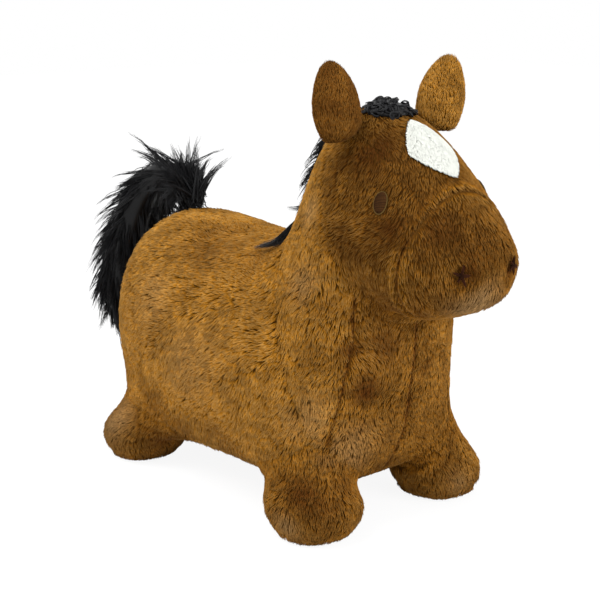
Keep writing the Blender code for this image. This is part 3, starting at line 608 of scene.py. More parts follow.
WHITE_PILE = ("CCCEC8", "D8DAD2", "DEE0D8")
FINISHES: dict[str, Finish] = {
    # Brushed polyester pile: golden at the tips, darker at the roots, partly its own colour and partly
    # painted shade between the locks, which mottles the coat
    "coat": PlushFinish("brushed_polyester_plush", ("5A360C", "6E4310", "9C7034"),
                        ("885610", "A06916", "D6A45A"), "4C2408"),
    # Undyed pile: clean cool white, a little grey at the roots as painted shade among the tufts
    "white_pile": PlushFinish("undyed_polyester_plush", WHITE_PILE, WHITE_PILE, "CCCEC8",
                              sheen_colour="FFFFFF", tint_range=(0.98, 1.0), softness=0.97, cloud=0.01),
    # Warp-knitted backing dyed with the pile: dark ground that shows only where the pile parts
    "backing": MottledFinish("warp_knitted_backing", "5A3A12", "42290C", 1.2, 0.95, specular=0.02),
    # Long acrylic hair: near black with a cool gloss along the strands
    "hair": FibreFinish("long_acrylic_hair", "08080A", "111114", 0.40, 0.24),
    # Rayon machine thread: dark brown with the soft gloss of satin stitch
    "eye_thread": FibreFinish("rayon_satin_stitch", "2E1B0B", "3A2410", 0.6, 0.03),
    # The same thread, lighter, whipped round the edge of the satin stitch
    "rim_thread": FibreFinish("rayon_whipped_edge", "443418", "523E1C", 0.6, 0.04),
    # Matt polyester thread pulled into a tuck: dark reddish brown
    "tuck_thread": FibreFinish("polyester_tuck_thread", "1E0E06", "361C0E", 0.8, 0.03),
    # Matt polyester sewing thread in the seams
    "seam_thread": FibreFinish("polyester_seam_thread", "4A2F16", "6A4824", 0.65, 0.3),
    # Calendered and welded vinyl: smooth, slightly waxy, warm beige
    "vinyl": MottledFinish("moulded_vinyl", "B49A78", "A68C6A", 0.9, 0.42, bump_mm=0.06, coat=0.15),
    # The same vinyl moulded solid: smoother and paler
    "plug": MottledFinish("moulded_vinyl_plug", "CFC3AC", "BEB199", 0.6, 0.36, bump_mm=0.04, coat=0.2),
    # Carded hollow fibre: soft white lumps
    "stuffing": MottledFinish("carded_hollow_fibre", "EFEEE9", "D9D7CF", 2.4, 0.95, bump_mm=0.6,
                              specular=0.1),
    # Woven polyester tape: fine ribs, matt brown
    "tape": MottledFinish("woven_polyester_tape", "5A4028", "46311D", 0.5, 0.85, bump_mm=0.15, specular=0.15),
    # Die-cast zinc with an antique brass plate: warm grey, rubbed brighter in places
    "zip_metal": MottledFinish("antique_brass_plated_zinc", "8E7856", "5F4D36", 0.8, 0.34, bump_mm=0.03,
                               metallic=1.0),
}


@dataclass(frozen=True)
class PanelCut:
    """How a kind of panel is cut: the X and Z of its pile's lay, at its foot and at its top, and its pile."""

    low: Pair
    high: Pair
    pile: float
    warmth: float
    density: float = 1.0
    fineness: float = 1.0

    def lay(self, level: float) -> np.ndarray:
        """Blend the two lays for a height from zero at the foot to one at the top."""
        ends = [np.array((x, 0.0, z)) for x, z in (self.low, self.high)]
        return ends[0] * (1 - level) + ends[1] * level


PANEL_CUTS: dict[str, PanelCut] = {
    "side_panel": PanelCut((-0.30, -1.0), (-1.0, -0.25), 0.0150, 0.92, 0.72, 1.45),
    "neck_panel": PanelCut((-0.10, -1.0), (-0.50, -1.0), 0.0125, 0.74, 0.80, 1.25),
    "belly_panel": PanelCut((-1.0, 0.0), (-1.0, 0.0), 0.0070, 0.40, 0.45),
    "chest_panel": PanelCut((0.0, -1.0), (0.0, -1.0), 0.0100, 0.30, 0.85, 1.1),
    "chin_panel": PanelCut((-1.0, -0.3), (-1.0, -0.3), 0.0080, 0.30),
    "cheek_panel": PanelCut((-0.45, -1.0), (-0.25, -1.0), 0.0105, 0.14, 0.85, 0.80),
    "forehead_panel": PanelCut((0.5, -1.0), (0.5, -0.8), 0.0090, 0.12, 0.85, 0.80),
    "muzzle_panel": PanelCut((-0.25, -1.0), (0.3, -1.0), 0.0105, 0.12, 0.80, 0.75),
    "rear_leg_cover": PanelCut((-0.1, -1.0), (-0.3, -1.0), 0.0100, 0.22),
    "front_leg_cover": PanelCut((0.1, -1.0), (0.1, -1.0), 0.0100, 0.22),
    "rear_sole": PanelCut((-1.0, 0.0), (-1.0, 0.0), 0.0030, 0.30, 0.5),
    "front_sole": PanelCut((-1.0, 0.0), (-1.0, 0.0), 0.0030, 0.30, 0.5),
    "ear_front": PanelCut((0.0, 1.0), (0.0, 1.0), 0.0070, 0.40),
    "ear_back": PanelCut((0.0, 1.0), (0.0, 1.0), 0.0065, 0.20),
    "blaze": PanelCut((0.4, -1.0), (0.4, -1.0), 0.0045, 1.0),
}
SINGLE_PANELS = ("chin_panel", "forehead_panel", "muzzle_panel")
COVER_KINDS = ("side_panel", "neck_panel", "belly_panel", "chest_panel", "chin_panel", "cheek_panel",
               "forehead_panel", "muzzle_panel", "rear_leg_cover", "front_leg_cover", "rear_sole",
               "front_sole")
COVER_PANELS = [kind + end for kind in COVER_KINDS
                for end in ([""] if kind in SINGLE_PANELS else ["_left", "_right"])]


def kind_of(panel: str) -> str:
    """Name a panel's kind, which the left and the right one share."""
    return panel.removesuffix("_left").removesuffix("_right")


@dataclass(frozen=True)
class Seam:
    """How a seam shows: how deep it draws the cover in, how much painted shade darkens the pile along it, and
    the welt that its allowance raises beside it, with its painted highlight.
    """

    depth: float
    width: float
    dark: float
    pile: float
    welt: float = 0.0
    welt_reach: float = 0.005
    glow: float = 0.0


PLAIN_SEAM = Seam(0.0012, 0.0070, 0.15, 0.78)
CHEST_SEAM = Seam(0.0030, 0.0055, 0.85, 0.55)
FACE_SEAM = Seam(0.0022, 0.0040, 0.55, 0.70, welt=0.0020, welt_reach=0.0055, glow=0.45)
SEAMS: dict[frozenset[str], Seam] = {
    frozenset(("chest_panel",)): CHEST_SEAM,
    frozenset(("chest_panel", "neck_panel")): CHEST_SEAM,
    frozenset(("forehead_panel", "muzzle_panel")): FACE_SEAM,
    frozenset(("cheek_panel", "muzzle_panel")): FACE_SEAM,
}

# Painted shade on the pile at listed spots, or painted light below zero: X, Y, Z and radius in mm, then how
# strongly
PaintedSpot = tuple[int, int, int, int, float]
PAINTED_SHADE_AND_LIGHT: tuple[PaintedSpot, ...] = (
    # Painted shade on the chest, the shoulder and the front of the legs
    (211, -77, 214, 13, 0.75), (218, -56, 166, 17, 0.85), (230, 18, 182, 10, 0.45), (193, -121, 60, 20, 0.65),
    # Painted shade on the head, from the cheek to the nose and the jaw
    (269, -67, 346, 19, 0.60), (218, -50, 412, 22, 0.80), (294, -43, 348, 25, 0.65),
    (324, -14, 324, 22, 0.50), (327, -26, 305, 14, 0.80), (280, -45, 254, 20, 0.45),
    (228, -40, 215, 22, 0.65), (260, -51, 254, 18, 0.45),
    # Painted shade on the shoulder, back, flank and the rear leg
    (186, -99, 206, 20, 0.25), (214, -108, 53, 18, 0.40), (-30, -60, 275, 55, 0.48), (50, -58, 282, 36, 0.38),
    (-72, -129, 89, 28, 0.50), (-28, -124, 69, 26, 0.45), (50, -116, 69, 35, 0.35),
    # Painted light: muzzle, neck, chest, feet and flank
    (327, -10, 272, 28, -0.50), (170, -99, 277, 20, -0.28), (163, -84, 351, 16, -0.30),
    (207, -68, 96, 32, -0.28), (184, -103, 136, 28, -0.25), (186, -138, 30, 16, -0.40),
    (-142, -138, 50, 28, -0.40), (226, 80, 29, 16, -0.25), (-75, -116, 221, 36, -0.22),
    (10, -133, 160, 50, -0.15),
    # Painted shade in the neck fold, at the rear heel and on the inside of the front leg
    (200, -91, 260, 18, 0.30), (-71, -117, 37, 22, 0.60), (211, -79, 67, 20, 0.40),
)


@dataclass
class Patch:
    """An oval place on the cover, read off its node: where the pile stops and what is worked there."""

    node: str
    half_long: float
    half_short: float
    shift_long: float = 0.0
    shift_short: float = 0.0
    reach: float = 0.006
    dent: float = 0.001
    gather: float = 0.0
    cut: float = 0.6
    # How much painted shade darkens the pile in the dent round the patch
    dark: float = 0.3
    near: float = 0.04
    ray_start: float = 0.02
    head_middle: Triple = (0.22, 0.0, 0.33)
    tree: BVHTree = field(init=False)
    middle: np.ndarray = field(init=False)
    long: np.ndarray = field(init=False)
    short: np.ndarray = field(init=False)
    outward: np.ndarray = field(init=False)

    def __post_init__(self) -> None:
        """Find the node's middle and its axes."""
        mesh = bpy.data.objects[self.node].data
        points = read_vectors(mesh.vertices, "co")
        middle = points.mean(0)
        axes = np.linalg.eigh(np.cov((points - middle).T))[1]
        self.outward = turned_towards(axes[:, 0], middle - np.array(self.head_middle))
        self.short = turned_towards(axes[:, 1], (1, 0, 0))
        self.long = turned_towards(axes[:, 2], (0, 0, 1))
        self.middle = middle + self.long * self.shift_long + self.short * self.shift_short
        self.tree = surface_tree(mesh)

    def place(self, share: float, angle: float, raised: float = 0.0) -> np.ndarray:
        """Find a place on the node's outer face.

        Args:
            share: how far out it lies, from the middle at zero to the oval's edge at one.
            angle: round the oval, from its long axis.
            raised: how far it stands out of that face.

        Returns:
            The place.
        """
        along = self.long * self.half_long * math.cos(angle) * share
        level = self.middle + along + self.short * self.half_short * math.sin(angle) * share
        return self.onto(self.tree, level, raised)

    def onto(self, tree: BVHTree, level: np.ndarray, raised: float) -> np.ndarray:
        """Drop a place onto a surface along the patch's axis, and raise it from there.

        Args:
            tree: the surface's search tree.
            level: the place.
            raised: how far it stands out of the surface.

        Returns:
            The place on the surface, or over where it was if the surface isn't under it.
        """
        start = Vector(level + self.outward * self.ray_start)
        found = tree.ray_cast(start, Vector(-self.outward), self.near)[0]
        return (level if found is None else np.array(found)) + self.outward * raised

    def beyond(self, points: np.ndarray) -> np.ndarray:
        """Measure how far outside the oval each point of the cover lies, less than zero within it.

        Args:
            points: the cover's points.

        Returns:
            A distance for each, which is one metre for those far off.
        """
        away = points - self.middle
        ring = np.hypot(away @ self.long / self.half_long, away @ self.short / self.half_short)
        far = np.linalg.norm(away, axis=1) > self.near
        return np.where(far, 1.0, (ring - 1) * min(self.half_long, self.half_short))


@dataclass
class Skin:
    """The outer face of sewn pieces as one smooth surface, which remembers the piece of each face."""

    panels: list[str]
    core: str = "bladder"
    outer_distance: float = 0.0052
    sink: float = 0.0
    covered: tuple[str, ...] = ()
    cover_reach: float = 0.012
    patches: tuple[Patch, ...] = ()
    outward: float = 0.6
    brushed: float = 0.0
    weld: float = 0.0007
    levels: int = 2
    join_angle: float = math.radians(50)
    stand: float = 0.26
    swirl: float = math.radians(26)
    swirl_size: float = 0.045
    seam_share: float = 1.0
    presses: tuple[PaintedSpot, ...] = PAINTED_SHADE_AND_LIGHT
    mesh: bpy.types.Mesh = field(init=False)
    tree: BVHTree = field(init=False)

    def __post_init__(self) -> None:
        """Weld, smooth and measure the surface."""
        self.mesh = subdivided(self.welded(), self.levels)
        self.tree = surface_tree(self.mesh)
        self.lay_pile()

    def welded(self) -> bpy.types.Mesh:
        """Join the outer faces of every panel across their seams.

        Returns:
            The control mesh, in four-sided faces where it can be.
        """
        inside = merged_copy(self.core)
        core = BVHTree.FromBMesh(inside)
        inside.free()
        joined = bmesh.new()
        for number, panel in enumerate(self.panels):
            shell = merged_copy(panel)
            for face in shell.faces:
                centre = face.calc_center_median()
                near, facing, _, distance = core.find_nearest(centre)
                away = centre - near
                outside = distance >= self.outer_distance and facing.dot(away) >= 0
                if outside and face.normal.dot(away.normalized()) > self.outward:
                    made = joined.faces.new([joined.verts.new(v.co) for v in face.verts])
                    made.material_index = number
            shell.free()
        bmesh.ops.remove_doubles(joined, verts=joined.verts[:], dist=self.weld)
        self.close_gaps(joined)
        bmesh.ops.join_triangles(joined, faces=joined.faces[:], cmp_materials=True,
                                 angle_face_threshold=self.join_angle, angle_shape_threshold=self.join_angle)
        return finished_mesh(joined, "skin")

    @staticmethod
    def close_gaps(joined: bmesh.types.BMesh) -> None:
        """Fill the three-sided gaps left in deep corners, each with the panel beside it.

        Args:
            joined: the control mesh, which is changed.
        """
        for edge in [e for e in joined.edges if e.is_boundary]:
            if not edge.is_boundary:
                continue
            beside = edge.link_loops[0]
            ends = (beside.link_loop_next.vert, beside.vert)
            third = set.intersection(*({e.other_vert(v) for e in v.link_edges if e.is_boundary}
                                       for v in ends))
            corners = (*ends, *third)
            if len(corners) == 3 and all(sum(e.is_boundary for e in v.link_edges) == 2 for v in corners):
                joined.faces.new(corners).material_index = beside.face.material_index

    def lay_pile(self) -> None:
        """Work out the lay, the length and the colour of the pile at each vertex, and draw the cloth in."""
        mesh = self.mesh
        points, normals = (read_vectors(mesh.vertices, name) for name in ("co", "normal"))
        edges = np.array([e.vertices[:] for e in mesh.edges])
        sums = np.zeros((len(points), 7))
        touching: dict[int, set[int]] = {}
        boxes = [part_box(panel) for panel in self.panels]
        for face in mesh.polygons:
            number = face.material_index
            cut, (low, high) = PANEL_CUTS[kind_of(self.panels[number])], boxes[number]
            for vertex in face.vertices:
                level = min(1.0, max(0.0, (points[vertex, 2] - low.z) / (high.z - low.z)))
                sums[vertex] += (*cut.lay(level), cut.pile, cut.warmth, cut.density, 1.0)
                touching.setdefault(vertex, set()).add(number)
        means = sums[:, :6] / np.maximum(sums[:, 6:], 1)
        pile, warmth, fullness = means[:, 3:].T.copy()
        pile = smoothed(pile, edges, 10)
        # A piece's painted light or painted shade shifts its warmth, and below zero darkens its pile too
        warmth = smoothed(warmth, edges, 30) + max(self.brushed, -0.4)
        drawn_in, pale = np.zeros(len(points)), np.zeros(len(points))
        press = np.full(len(points), max(0.0, -self.brushed))
        # Along each seam the cover is drawn in and its pile darkened by painted shade, and a face seam's welt
        # is lightened by a painted highlight
        for seam, chosen in self.seams(touching).items():
            known = point_tree(points[chosen])
            apart = np.array([known.find(p)[2] for p in points])
            near = np.clip(1 - apart / seam.width, 0, 1)
            ridge = np.exp(-(((apart - seam.welt_reach) / (seam.welt_reach / 2)) ** 2))
            drawn_in += (near ** 2 * seam.depth - ridge * seam.welt) * self.seam_share
            press = np.maximum(press, near ** 1.5 * seam.dark)
            pile *= 1 - (1 - seam.pile) * near
            warmth += ridge * seam.glow
        lay = self.tangents(smoothed(means[:, :3], edges, 3), normals)
        lay = self.swirled(points, normals, lay)
        # Painted shade and painted light at the listed spots
        for *centre, radius, strength in self.presses:
            away = np.linalg.norm(points - np.array(centre) / MM_PER_METRE, axis=1)
            spot = strength * np.exp(-((away / (radius / MM_PER_METRE)) ** 2))
            press, pale = np.maximum(press, spot), np.maximum(pale, -spot)
        for node in self.covered:
            fullness *= 1 - self.under(node, points, normals)
        for patch in self.patches:
            beyond = patch.beyond(points)
            near = np.clip(1 - beyond / patch.reach, 0, 1)
            pile *= 1 - patch.cut * near
            drawn_in += patch.dent * near ** 2 * (3 - 2 * near)
            # Painted shade in the dent round the patch
            press = np.maximum(press, patch.dark * near ** 1.5)
            inward = self.tangents(patch.middle - points, normals)
            lay = unit_rows(lay + inward * (near * patch.gather)[:, None])
            fullness[beyond < -0.0005] = 0
        drawn = points - normals * (pile * self.stand + drawn_in + self.sink)[:, None]
        drawn[:, 2] = np.maximum(drawn[:, 2], FLOOR_REST * 4)
        move_points(mesh, drawn)
        for name, values in (("lay", lay), ("pile", pile), ("warmth", warmth), ("press", press - pale),
                             ("fullness", fullness)):
            write_attribute(mesh, name, values)

    def seams(self, touching: dict[int, set[int]]) -> dict[Seam, list[int]]:
        """Sort the vertices where panels meet by the kind of seam.

        Args:
            touching: for each vertex, the numbers of the panels that meet there.

        Returns:
            The vertices of each kind.
        """
        found: dict[Seam, list[int]] = {}
        for vertex, numbers in touching.items():
            if len(numbers) > 1:
                kinds = frozenset(kind_of(self.panels[number]) for number in numbers)
                found.setdefault(SEAMS.get(kinds, PLAIN_SEAM), []).append(vertex)
        return found

    def under(self, node: str, points: np.ndarray, normals: np.ndarray) -> np.ndarray:
        """Find the points that a sewn-on node covers.

        Args:
            node: the node's name.
            points: places on the surface.
            normals: the surface's normals there.

        Returns:
            One for a covered point and zero for any other.
        """
        known, reach = surface_tree(bpy.data.objects[node].data), self.cover_reach
        return np.array([known.ray_cast(Vector(p - n * reach / 2), Vector(n), reach)[0] is not None
                         for p, n in zip(points, normals)], float)

    @staticmethod
    def tangents(wanted: np.ndarray, normals: np.ndarray) -> np.ndarray:
        """Lay vectors flat on the surface, and let them hang down where little of them is left.

        Args:
            wanted: a direction for each vertex.
            normals: the surface's normals.

        Returns:
            Unit directions along the surface.
        """
        down = np.array([0.0, 0.0, -1.0])
        flat = wanted - normals * (wanted * normals).sum(1, keepdims=True)
        hang = down - normals * (normals @ down)[:, None]
        missing = np.clip(0.6 - np.linalg.norm(flat, axis=1, keepdims=True), 0, 1)
        return unit_rows(flat + hang * missing)

    def swirled(self, points: np.ndarray, normals: np.ndarray, lay: np.ndarray) -> np.ndarray:
        """Turn the lay a little to and fro over the surface, as brushed pile lies."""
        angles = np.array([noise.noise(Vector(p) / self.swirl_size) for p in points]) * 2 * self.swirl
        return unit_rows(lay * np.cos(angles)[:, None] + np.cross(normals, lay) * np.sin(angles)[:, None])

    def panel_sheet(self, number: int) -> bpy.types.Mesh:
        """Cut one panel, by its place in the list, out of the surface, with the pile's attributes."""
        keep = np.array([face.material_index == number for face in self.mesh.polygons])
        return part_of(self.mesh, keep, self.panels[number] + "_sheet")


@dataclass
class Tuft:
    """One tapering tuft of pile, of length and width one, which the pile tree repeats."""

    bends: tuple[float, ...] = (-0.5, -0.2, 0.2, 0.55)
    arch: float = 0.05
    thickness: float = 0.06
    middle: float = 0.45
    faces: int = 6
    collection: bpy.types.Collection = field(init=False)

    def __post_init__(self) -> None:
        """Make a tuft for each bend."""
        self.collection = bpy.data.collections.new("tufts")
        bpy.context.scene.collection.children.link(self.collection)
        for number, bend in enumerate(self.bends):
            self.collection.objects.link(bpy.data.objects.new(f"tuft_{number}", self.shape(bend)))

    def shape(self, bend: float) -> bpy.types.Mesh:
        """Build one closed tuft along X: a root, a ring of three corners at its middle and a tip.

        Args:
            bend: how far its middle swings sideways, in widths.

        Returns:
            The mesh, with the share of the way along it on each vertex.
        """
        part = bmesh.new()
        root, tip = part.verts.new((0.0, 0.0, 0.0)), part.verts.new((1.0, 0.0, 0.0))
        ring = [part.verts.new((self.middle, bend + side / 2, self.arch + top * self.thickness))
                for side, top in ((-1.0, 0.0), (1.0, 0.0), (0.0, 1.0))]
        for first, second in zip(ring, ring[1:] + ring[:1]):
            part.faces.new((root, second, first))
            part.faces.new((first, second, tip))
        bmesh.ops.recalc_face_normals(part, faces=part.faces[:])
        mesh = finished_mesh(part, "tuft")
        write_attribute(mesh, "along", read_vectors(mesh.vertices, "co")[:, 0])
        return mesh

    def clear(self) -> None:
        """Remove the tufts once every pile is grown."""
        for item in list(self.collection.objects):
            drop(item)
        bpy.data.collections.remove(self.collection)


def pile_tree() -> bpy.types.NodeTree:
    """Build the tree that grows pile on a sheet, in locks that draw their tufts together.

    Returns:
        The tree.
    """
    tree, add, given = new_geometry_tree("pile", {
        "Density": 200000.0, "Width": 0.0016, "Lift": 0.5, "Lock Density": 30000.0, "Lock Pull": 0.6,
        "Lock Turn": 0.45, "Ruffle": 0.16, "Floor": FLOOR_REST, "Seed": 1, "Tufts": "NodeSocketCollection",
        "Finish": "NodeSocketMaterial"})
    lay = add("GeometryNodeInputNamedAttribute", {"Name": "lay"}, data_type="FLOAT_VECTOR")
    pile, full = (add("GeometryNodeInputNamedAttribute", {"Name": name}, data_type="FLOAT")
                  for name in ("pile", "fullness"))
    place = add("GeometryNodeInputPosition")

    def scattered(density: bpy.types.NodeSocket, shift: int) -> bpy.types.Node:
        """Scatter points on the sheet, thinner where it is less full.

        Args:
            density: the points on a square metre.
            shift: what is added to the seed.

        Returns:
            The points.
        """
        seed = add("ShaderNodeMath", {0: given["Seed"], 1: float(shift)}, operation="ADD")
        dense = add("ShaderNodeMath", {0: density, 1: full}, operation="MULTIPLY")
        return add("GeometryNodeDistributePointsOnFaces",
                   {"Mesh": given["Geometry"], "Density": dense, "Seed": seed})

    def reaching(points: bpy.types.Node, turn: Any, lift: Any, stretch: Any) -> bpy.types.Node:
        """Find where a tuft that starts at each point would end.

        Args:
            points: the points.
            turn: how far the tuft turns from the lay.
            lift: how steeply it stands.
            stretch: how long it is, as a share of the pile's length.

        Returns:
            The ends.
        """
        facing = points.outputs["Normal"]
        turned = add("ShaderNodeVectorRotate", {"Vector": lay, "Axis": facing, "Angle": turn},
                     rotation_type="AXIS_ANGLE")
        flat = add("ShaderNodeMath", {0: lift}, operation="COSINE")
        steep = add("ShaderNodeMath", {0: lift}, operation="SINE")
        forward = add("ShaderNodeVectorMath", {"Vector": turned, "Scale": flat}, operation="SCALE")
        upward = add("ShaderNodeVectorMath", {"Vector": facing, "Scale": steep}, operation="SCALE")
        aim = add("ShaderNodeVectorMath", {0: forward, 1: upward}, operation="ADD")
        far = add("ShaderNodeMath", {0: pile, 1: stretch}, operation="MULTIPLY")
        reach = add("ShaderNodeVectorMath", {"Vector": aim, "Scale": far}, operation="SCALE")
        return add("ShaderNodeVectorMath", {0: place, 1: reach}, operation="ADD")

    back = add("ShaderNodeMath", {0: given["Lock Turn"], 1: -1.0}, operation="MULTIPLY")
    ranges = {"lock turn": (back, given["Lock Turn"]), "lock lift": (0.6, 1.4), "lock length": (0.85, 1.3),
              "turn": (-0.25, 0.25), "stray": ((-1.0, -1.0, -1.0), (1.0, 1.0, 1.0)), "length": (0.75, 1.1),
              "width": (0.6, 1.3), "lock tint": (0.0, 1.0), "tint": (0.0, 1.0), "shape": (0, 3)}
    kinds = {"stray": "FLOAT_VECTOR", "shape": "INT"}
    chance = {name: add("FunctionNodeRandomValue", {"Min": low, "Max": high, "Seed": seed},
                        data_type=kinds.get(name, "FLOAT"))
              for seed, (name, (low, high)) in enumerate(ranges.items(), 11)}
    locks = scattered(given["Lock Density"], 1)
    raised = add("ShaderNodeMath", {0: given["Lift"], 1: chance["lock lift"]}, operation="MULTIPLY")
    lock_end = reaching(locks, chance["lock turn"], raised, chance["lock length"])
    roots = scattered(given["Density"], 2)
    nearest = add("GeometryNodeSampleNearest", {"Geometry": locks, "Sample Position": place}, domain="POINT")
    end = add("GeometryNodeSampleIndex", {"Geometry": locks, "Value": lock_end, "Index": nearest},
              data_type="FLOAT_VECTOR", domain="POINT")
    own_end = reaching(roots, chance["turn"], given["Lift"], 1.0)
    shared = add("ShaderNodeMix", {"Factor": given["Lock Pull"], "A": own_end, "B": end}, data_type="VECTOR")
    loose = add("ShaderNodeMath", {0: pile, 1: given["Ruffle"]}, operation="MULTIPLY")
    stray = add("ShaderNodeVectorMath", {"Vector": chance["stray"], "Scale": loose}, operation="SCALE")
    goal = add("ShaderNodeVectorMath", {0: shared, 1: stray}, operation="ADD")
    way = add("ShaderNodeVectorMath", {0: goal, 1: place}, operation="SUBTRACT")
    gone = add("ShaderNodeVectorMath", {0: way}, operation="LENGTH")
    most = add("ShaderNodeMath", {0: pile, 1: 1.3}, operation="MULTIPLY")
    capped = add("ShaderNodeMath", {0: gone, 1: most}, operation="MINIMUM")
    long = add("ShaderNodeMath", {0: capped, 1: chance["length"]}, operation="MULTIPLY")
    wide = add("ShaderNodeMath", {0: given["Width"], 1: chance["width"]}, operation="MULTIPLY")
    size = add("ShaderNodeCombineXYZ", {"X": long, "Y": wide, "Z": long})
    turn = add("FunctionNodeAxesToRotation", {"Primary Axis": way, "Secondary Axis": roots.outputs["Normal"]},
               primary_axis="X", secondary_axis="Z")
    lock_tint = add("GeometryNodeSampleIndex",
                    {"Geometry": locks, "Value": chance["lock tint"], "Index": nearest},
                    data_type="FLOAT", domain="POINT")
    tint = add("ShaderNodeMix", {"Factor": 0.4, "A": lock_tint, "B": chance["tint"]}, data_type="FLOAT")
    marked = add("GeometryNodeStoreNamedAttribute", {"Geometry": roots, "Name": "tint", "Value": tint},
                 data_type="FLOAT", domain="POINT")
    faced = add("GeometryNodeStoreNamedAttribute",
                {"Geometry": marked, "Name": "facing", "Value": roots.outputs["Normal"]},
                data_type="FLOAT_VECTOR", domain="POINT")
    shapes = add("GeometryNodeCollectionInfo",
                 {"Collection": given["Tufts"], "Separate Children": True, "Reset Children": True})
    tufts = add("GeometryNodeInstanceOnPoints", {
        "Points": faced, "Instance": shapes, "Pick Instance": True, "Instance Index": chance["shape"],
        "Rotation": turn, "Scale": size})
    real = add("GeometryNodeRealizeInstances", {"Geometry": tufts})
    parts = add("ShaderNodeSeparateXYZ", {"Vector": place}).outputs
    kept = add("ShaderNodeMath", {0: parts["Z"], 1: given["Floor"]}, operation="MAXIMUM")
    above = add("ShaderNodeCombineXYZ", {"X": parts["X"], "Y": parts["Y"], "Z": kept})
    bare = add("GeometryNodeSetPosition", {"Geometry": real, "Position": above})
    for name in ("lay", "pile", "fullness"):
        bare = add("GeometryNodeRemoveAttribute", {"Geometry": bare, "Name": name})
    finished = add("GeometryNodeSetMaterial", {"Geometry": bare, "Material": given["Finish"]})
    add("NodeGroupOutput", {"Geometry": finished})
    return tree


def strand_tree() -> bpy.types.NodeTree:
    """Build the tree that turns guide lines into locks of round, tapering strands.

    Returns:
        The tree.
    """
    tree, add, given = new_geometry_tree("strands", {
        "Strands": 10, "Lock Radius": 0.0048, "Tip Share": 0.22, "Strand Width": 0.0012, "Tip Width": 0.15,
        "Frizz": 0.010, "Frizz Size": 0.03, "Shortest": 0.65, "Sides": 3, "Seed": 1,
        "Finish": "NodeSocketMaterial"})
    curves = add("GeometryNodeMeshToCurve", {"Mesh": given["Geometry"]})
    copies = add("GeometryNodeDuplicateElements", {"Geometry": curves, "Amount": given["Strands"]},
                 domain="SPLINE")
    factor = add("GeometryNodeSplineParameter").outputs["Factor"]

    def each(kind: str, low: Any, high: Any, shift: int) -> bpy.types.Node:
        """Draw one value for each strand.

        Args:
            kind: the value's data type.
            low: the least.
            high: the most.
            shift: what is added to the seed.

        Returns:
            The values.
        """
        seed = add("ShaderNodeMath", {0: given["Seed"], 1: float(shift)}, operation="ADD")
        drawn = add("FunctionNodeRandomValue", {"Min": low, "Max": high, "Seed": seed}, data_type=kind)
        return add("GeometryNodeFieldOnDomain", {"Value": drawn}, data_type=kind, domain="CURVE")

    own = each("FLOAT_VECTOR", (-1.0, -1.0, -1.0), (1.0, 1.0, 1.0), 3)
    closing = add("ShaderNodeMapRange", {"Value": factor, "To Min": 1.0, "To Max": given["Tip Share"]})
    radius = add("ShaderNodeMath", {0: closing, 1: given["Lock Radius"]}, operation="MULTIPLY")
    aside = add("ShaderNodeVectorMath", {"Vector": own, "Scale": radius}, operation="SCALE")
    place = add("GeometryNodeInputPosition")
    finer = add("ShaderNodeMath", {0: 1.0, 1: given["Frizz Size"]}, operation="DIVIDE")
    moved = add("ShaderNodeVectorMath", {0: place, 1: own}, operation="ADD")
    wave = add("ShaderNodeTexNoise", {"Vector": moved, "Scale": finer, "Detail": 1.0}).outputs["Color"]
    level = add("ShaderNodeVectorMath", {0: wave, 1: (0.5, 0.5, 0.5)}, operation="SUBTRACT")
    rising = add("ShaderNodeMath", {0: factor, 1: given["Frizz"]}, operation="MULTIPLY")
    curl = add("ShaderNodeVectorMath", {"Vector": level, "Scale": rising}, operation="SCALE")
    shift = add("ShaderNodeVectorMath", {0: aside, 1: curl}, operation="ADD")
    spread = add("GeometryNodeSetPosition", {"Geometry": copies, "Offset": shift})
    marked = add("GeometryNodeTrimCurve", {"Curve": spread, "End": each("FLOAT", given["Shortest"], 1.0, 5)})
    for name, value in (("along", factor), ("tint", each("FLOAT", 0.0, 1.0, 7))):
        marked = add("GeometryNodeStoreNamedAttribute", {"Geometry": marked, "Name": name, "Value": value},
                     data_type="FLOAT", domain="POINT")
    half = add("ShaderNodeMath", {0: given["Strand Width"], 1: 0.5}, operation="MULTIPLY")
    ring = add("GeometryNodeCurvePrimitiveCircle", {"Resolution": given["Sides"], "Radius": half})
    late = add("ShaderNodeMath", {0: factor, 1: 2.0}, operation="POWER")
    taper = add("ShaderNodeMapRange", {"Value": late, "To Min": 1.0, "To Max": given["Tip Width"]})
    tubes = add("GeometryNodeCurveToMesh", {"Curve": marked, "Profile Curve": ring, "Scale": taper,
                                            "Fill Caps": True})
    real = add("GeometryNodeRealizeInstances", {"Geometry": tubes})
    soft = add("GeometryNodeSetShadeSmooth", {"Geometry": real, "Shade Smooth": True})
    finished = add("GeometryNodeSetMaterial", {"Geometry": soft, "Material": given["Finish"]})
    add("NodeGroupOutput", {"Geometry": finished})
    return tree


PLAIN_THREAD: dict[str, Any] = {"Strands": 1, "Lock Radius": 0.0, "Tip Share": 1.0, "Tip Width": 1.0,
                                "Frizz": 0.0, "Shortest": 1.0}


def guide_mesh(lines: Lines) -> bpy.types.Mesh:
    """Make a mesh of open lines, edges with no faces, for the strand tree.

    Args:
        lines: the points of each line.

    Returns:
        The mesh.
    """
    points, edges = [], []
    for line in lines:
        first = len(points)
        points.extend(tuple(p) for p in line)
        edges.extend((first + k, first + k + 1) for k in range(len(line) - 1))
    mesh = bpy.data.meshes.new("guides")
    mesh.from_pydata(points, edges, [])
    return mesh


def smooth_line(points: np.ndarray, count: int) -> np.ndarray:
    """Run a smooth line through a few points.

    Args:
        points: the points, in order.
        count: how many points the line gets.

    Returns:
        The line's points, evenly spread over the spans.
    """
    ends = np.concatenate([[2 * points[0] - points[1]], points, [2 * points[-1] - points[-2]]])
    made = []
    for share in np.linspace(0, len(points) - 1, count):
        span = min(int(share), len(points) - 2)
        t = share - span
        a, b, c, d = ends[span:span + 4]
        made.append(0.5 * (2 * b + (c - a) * t + (2 * a - 5 * b + 4 * c - d) * t * t
                           + (3 * b - a - 3 * c + d) * t ** 3))
    return np.array(made)


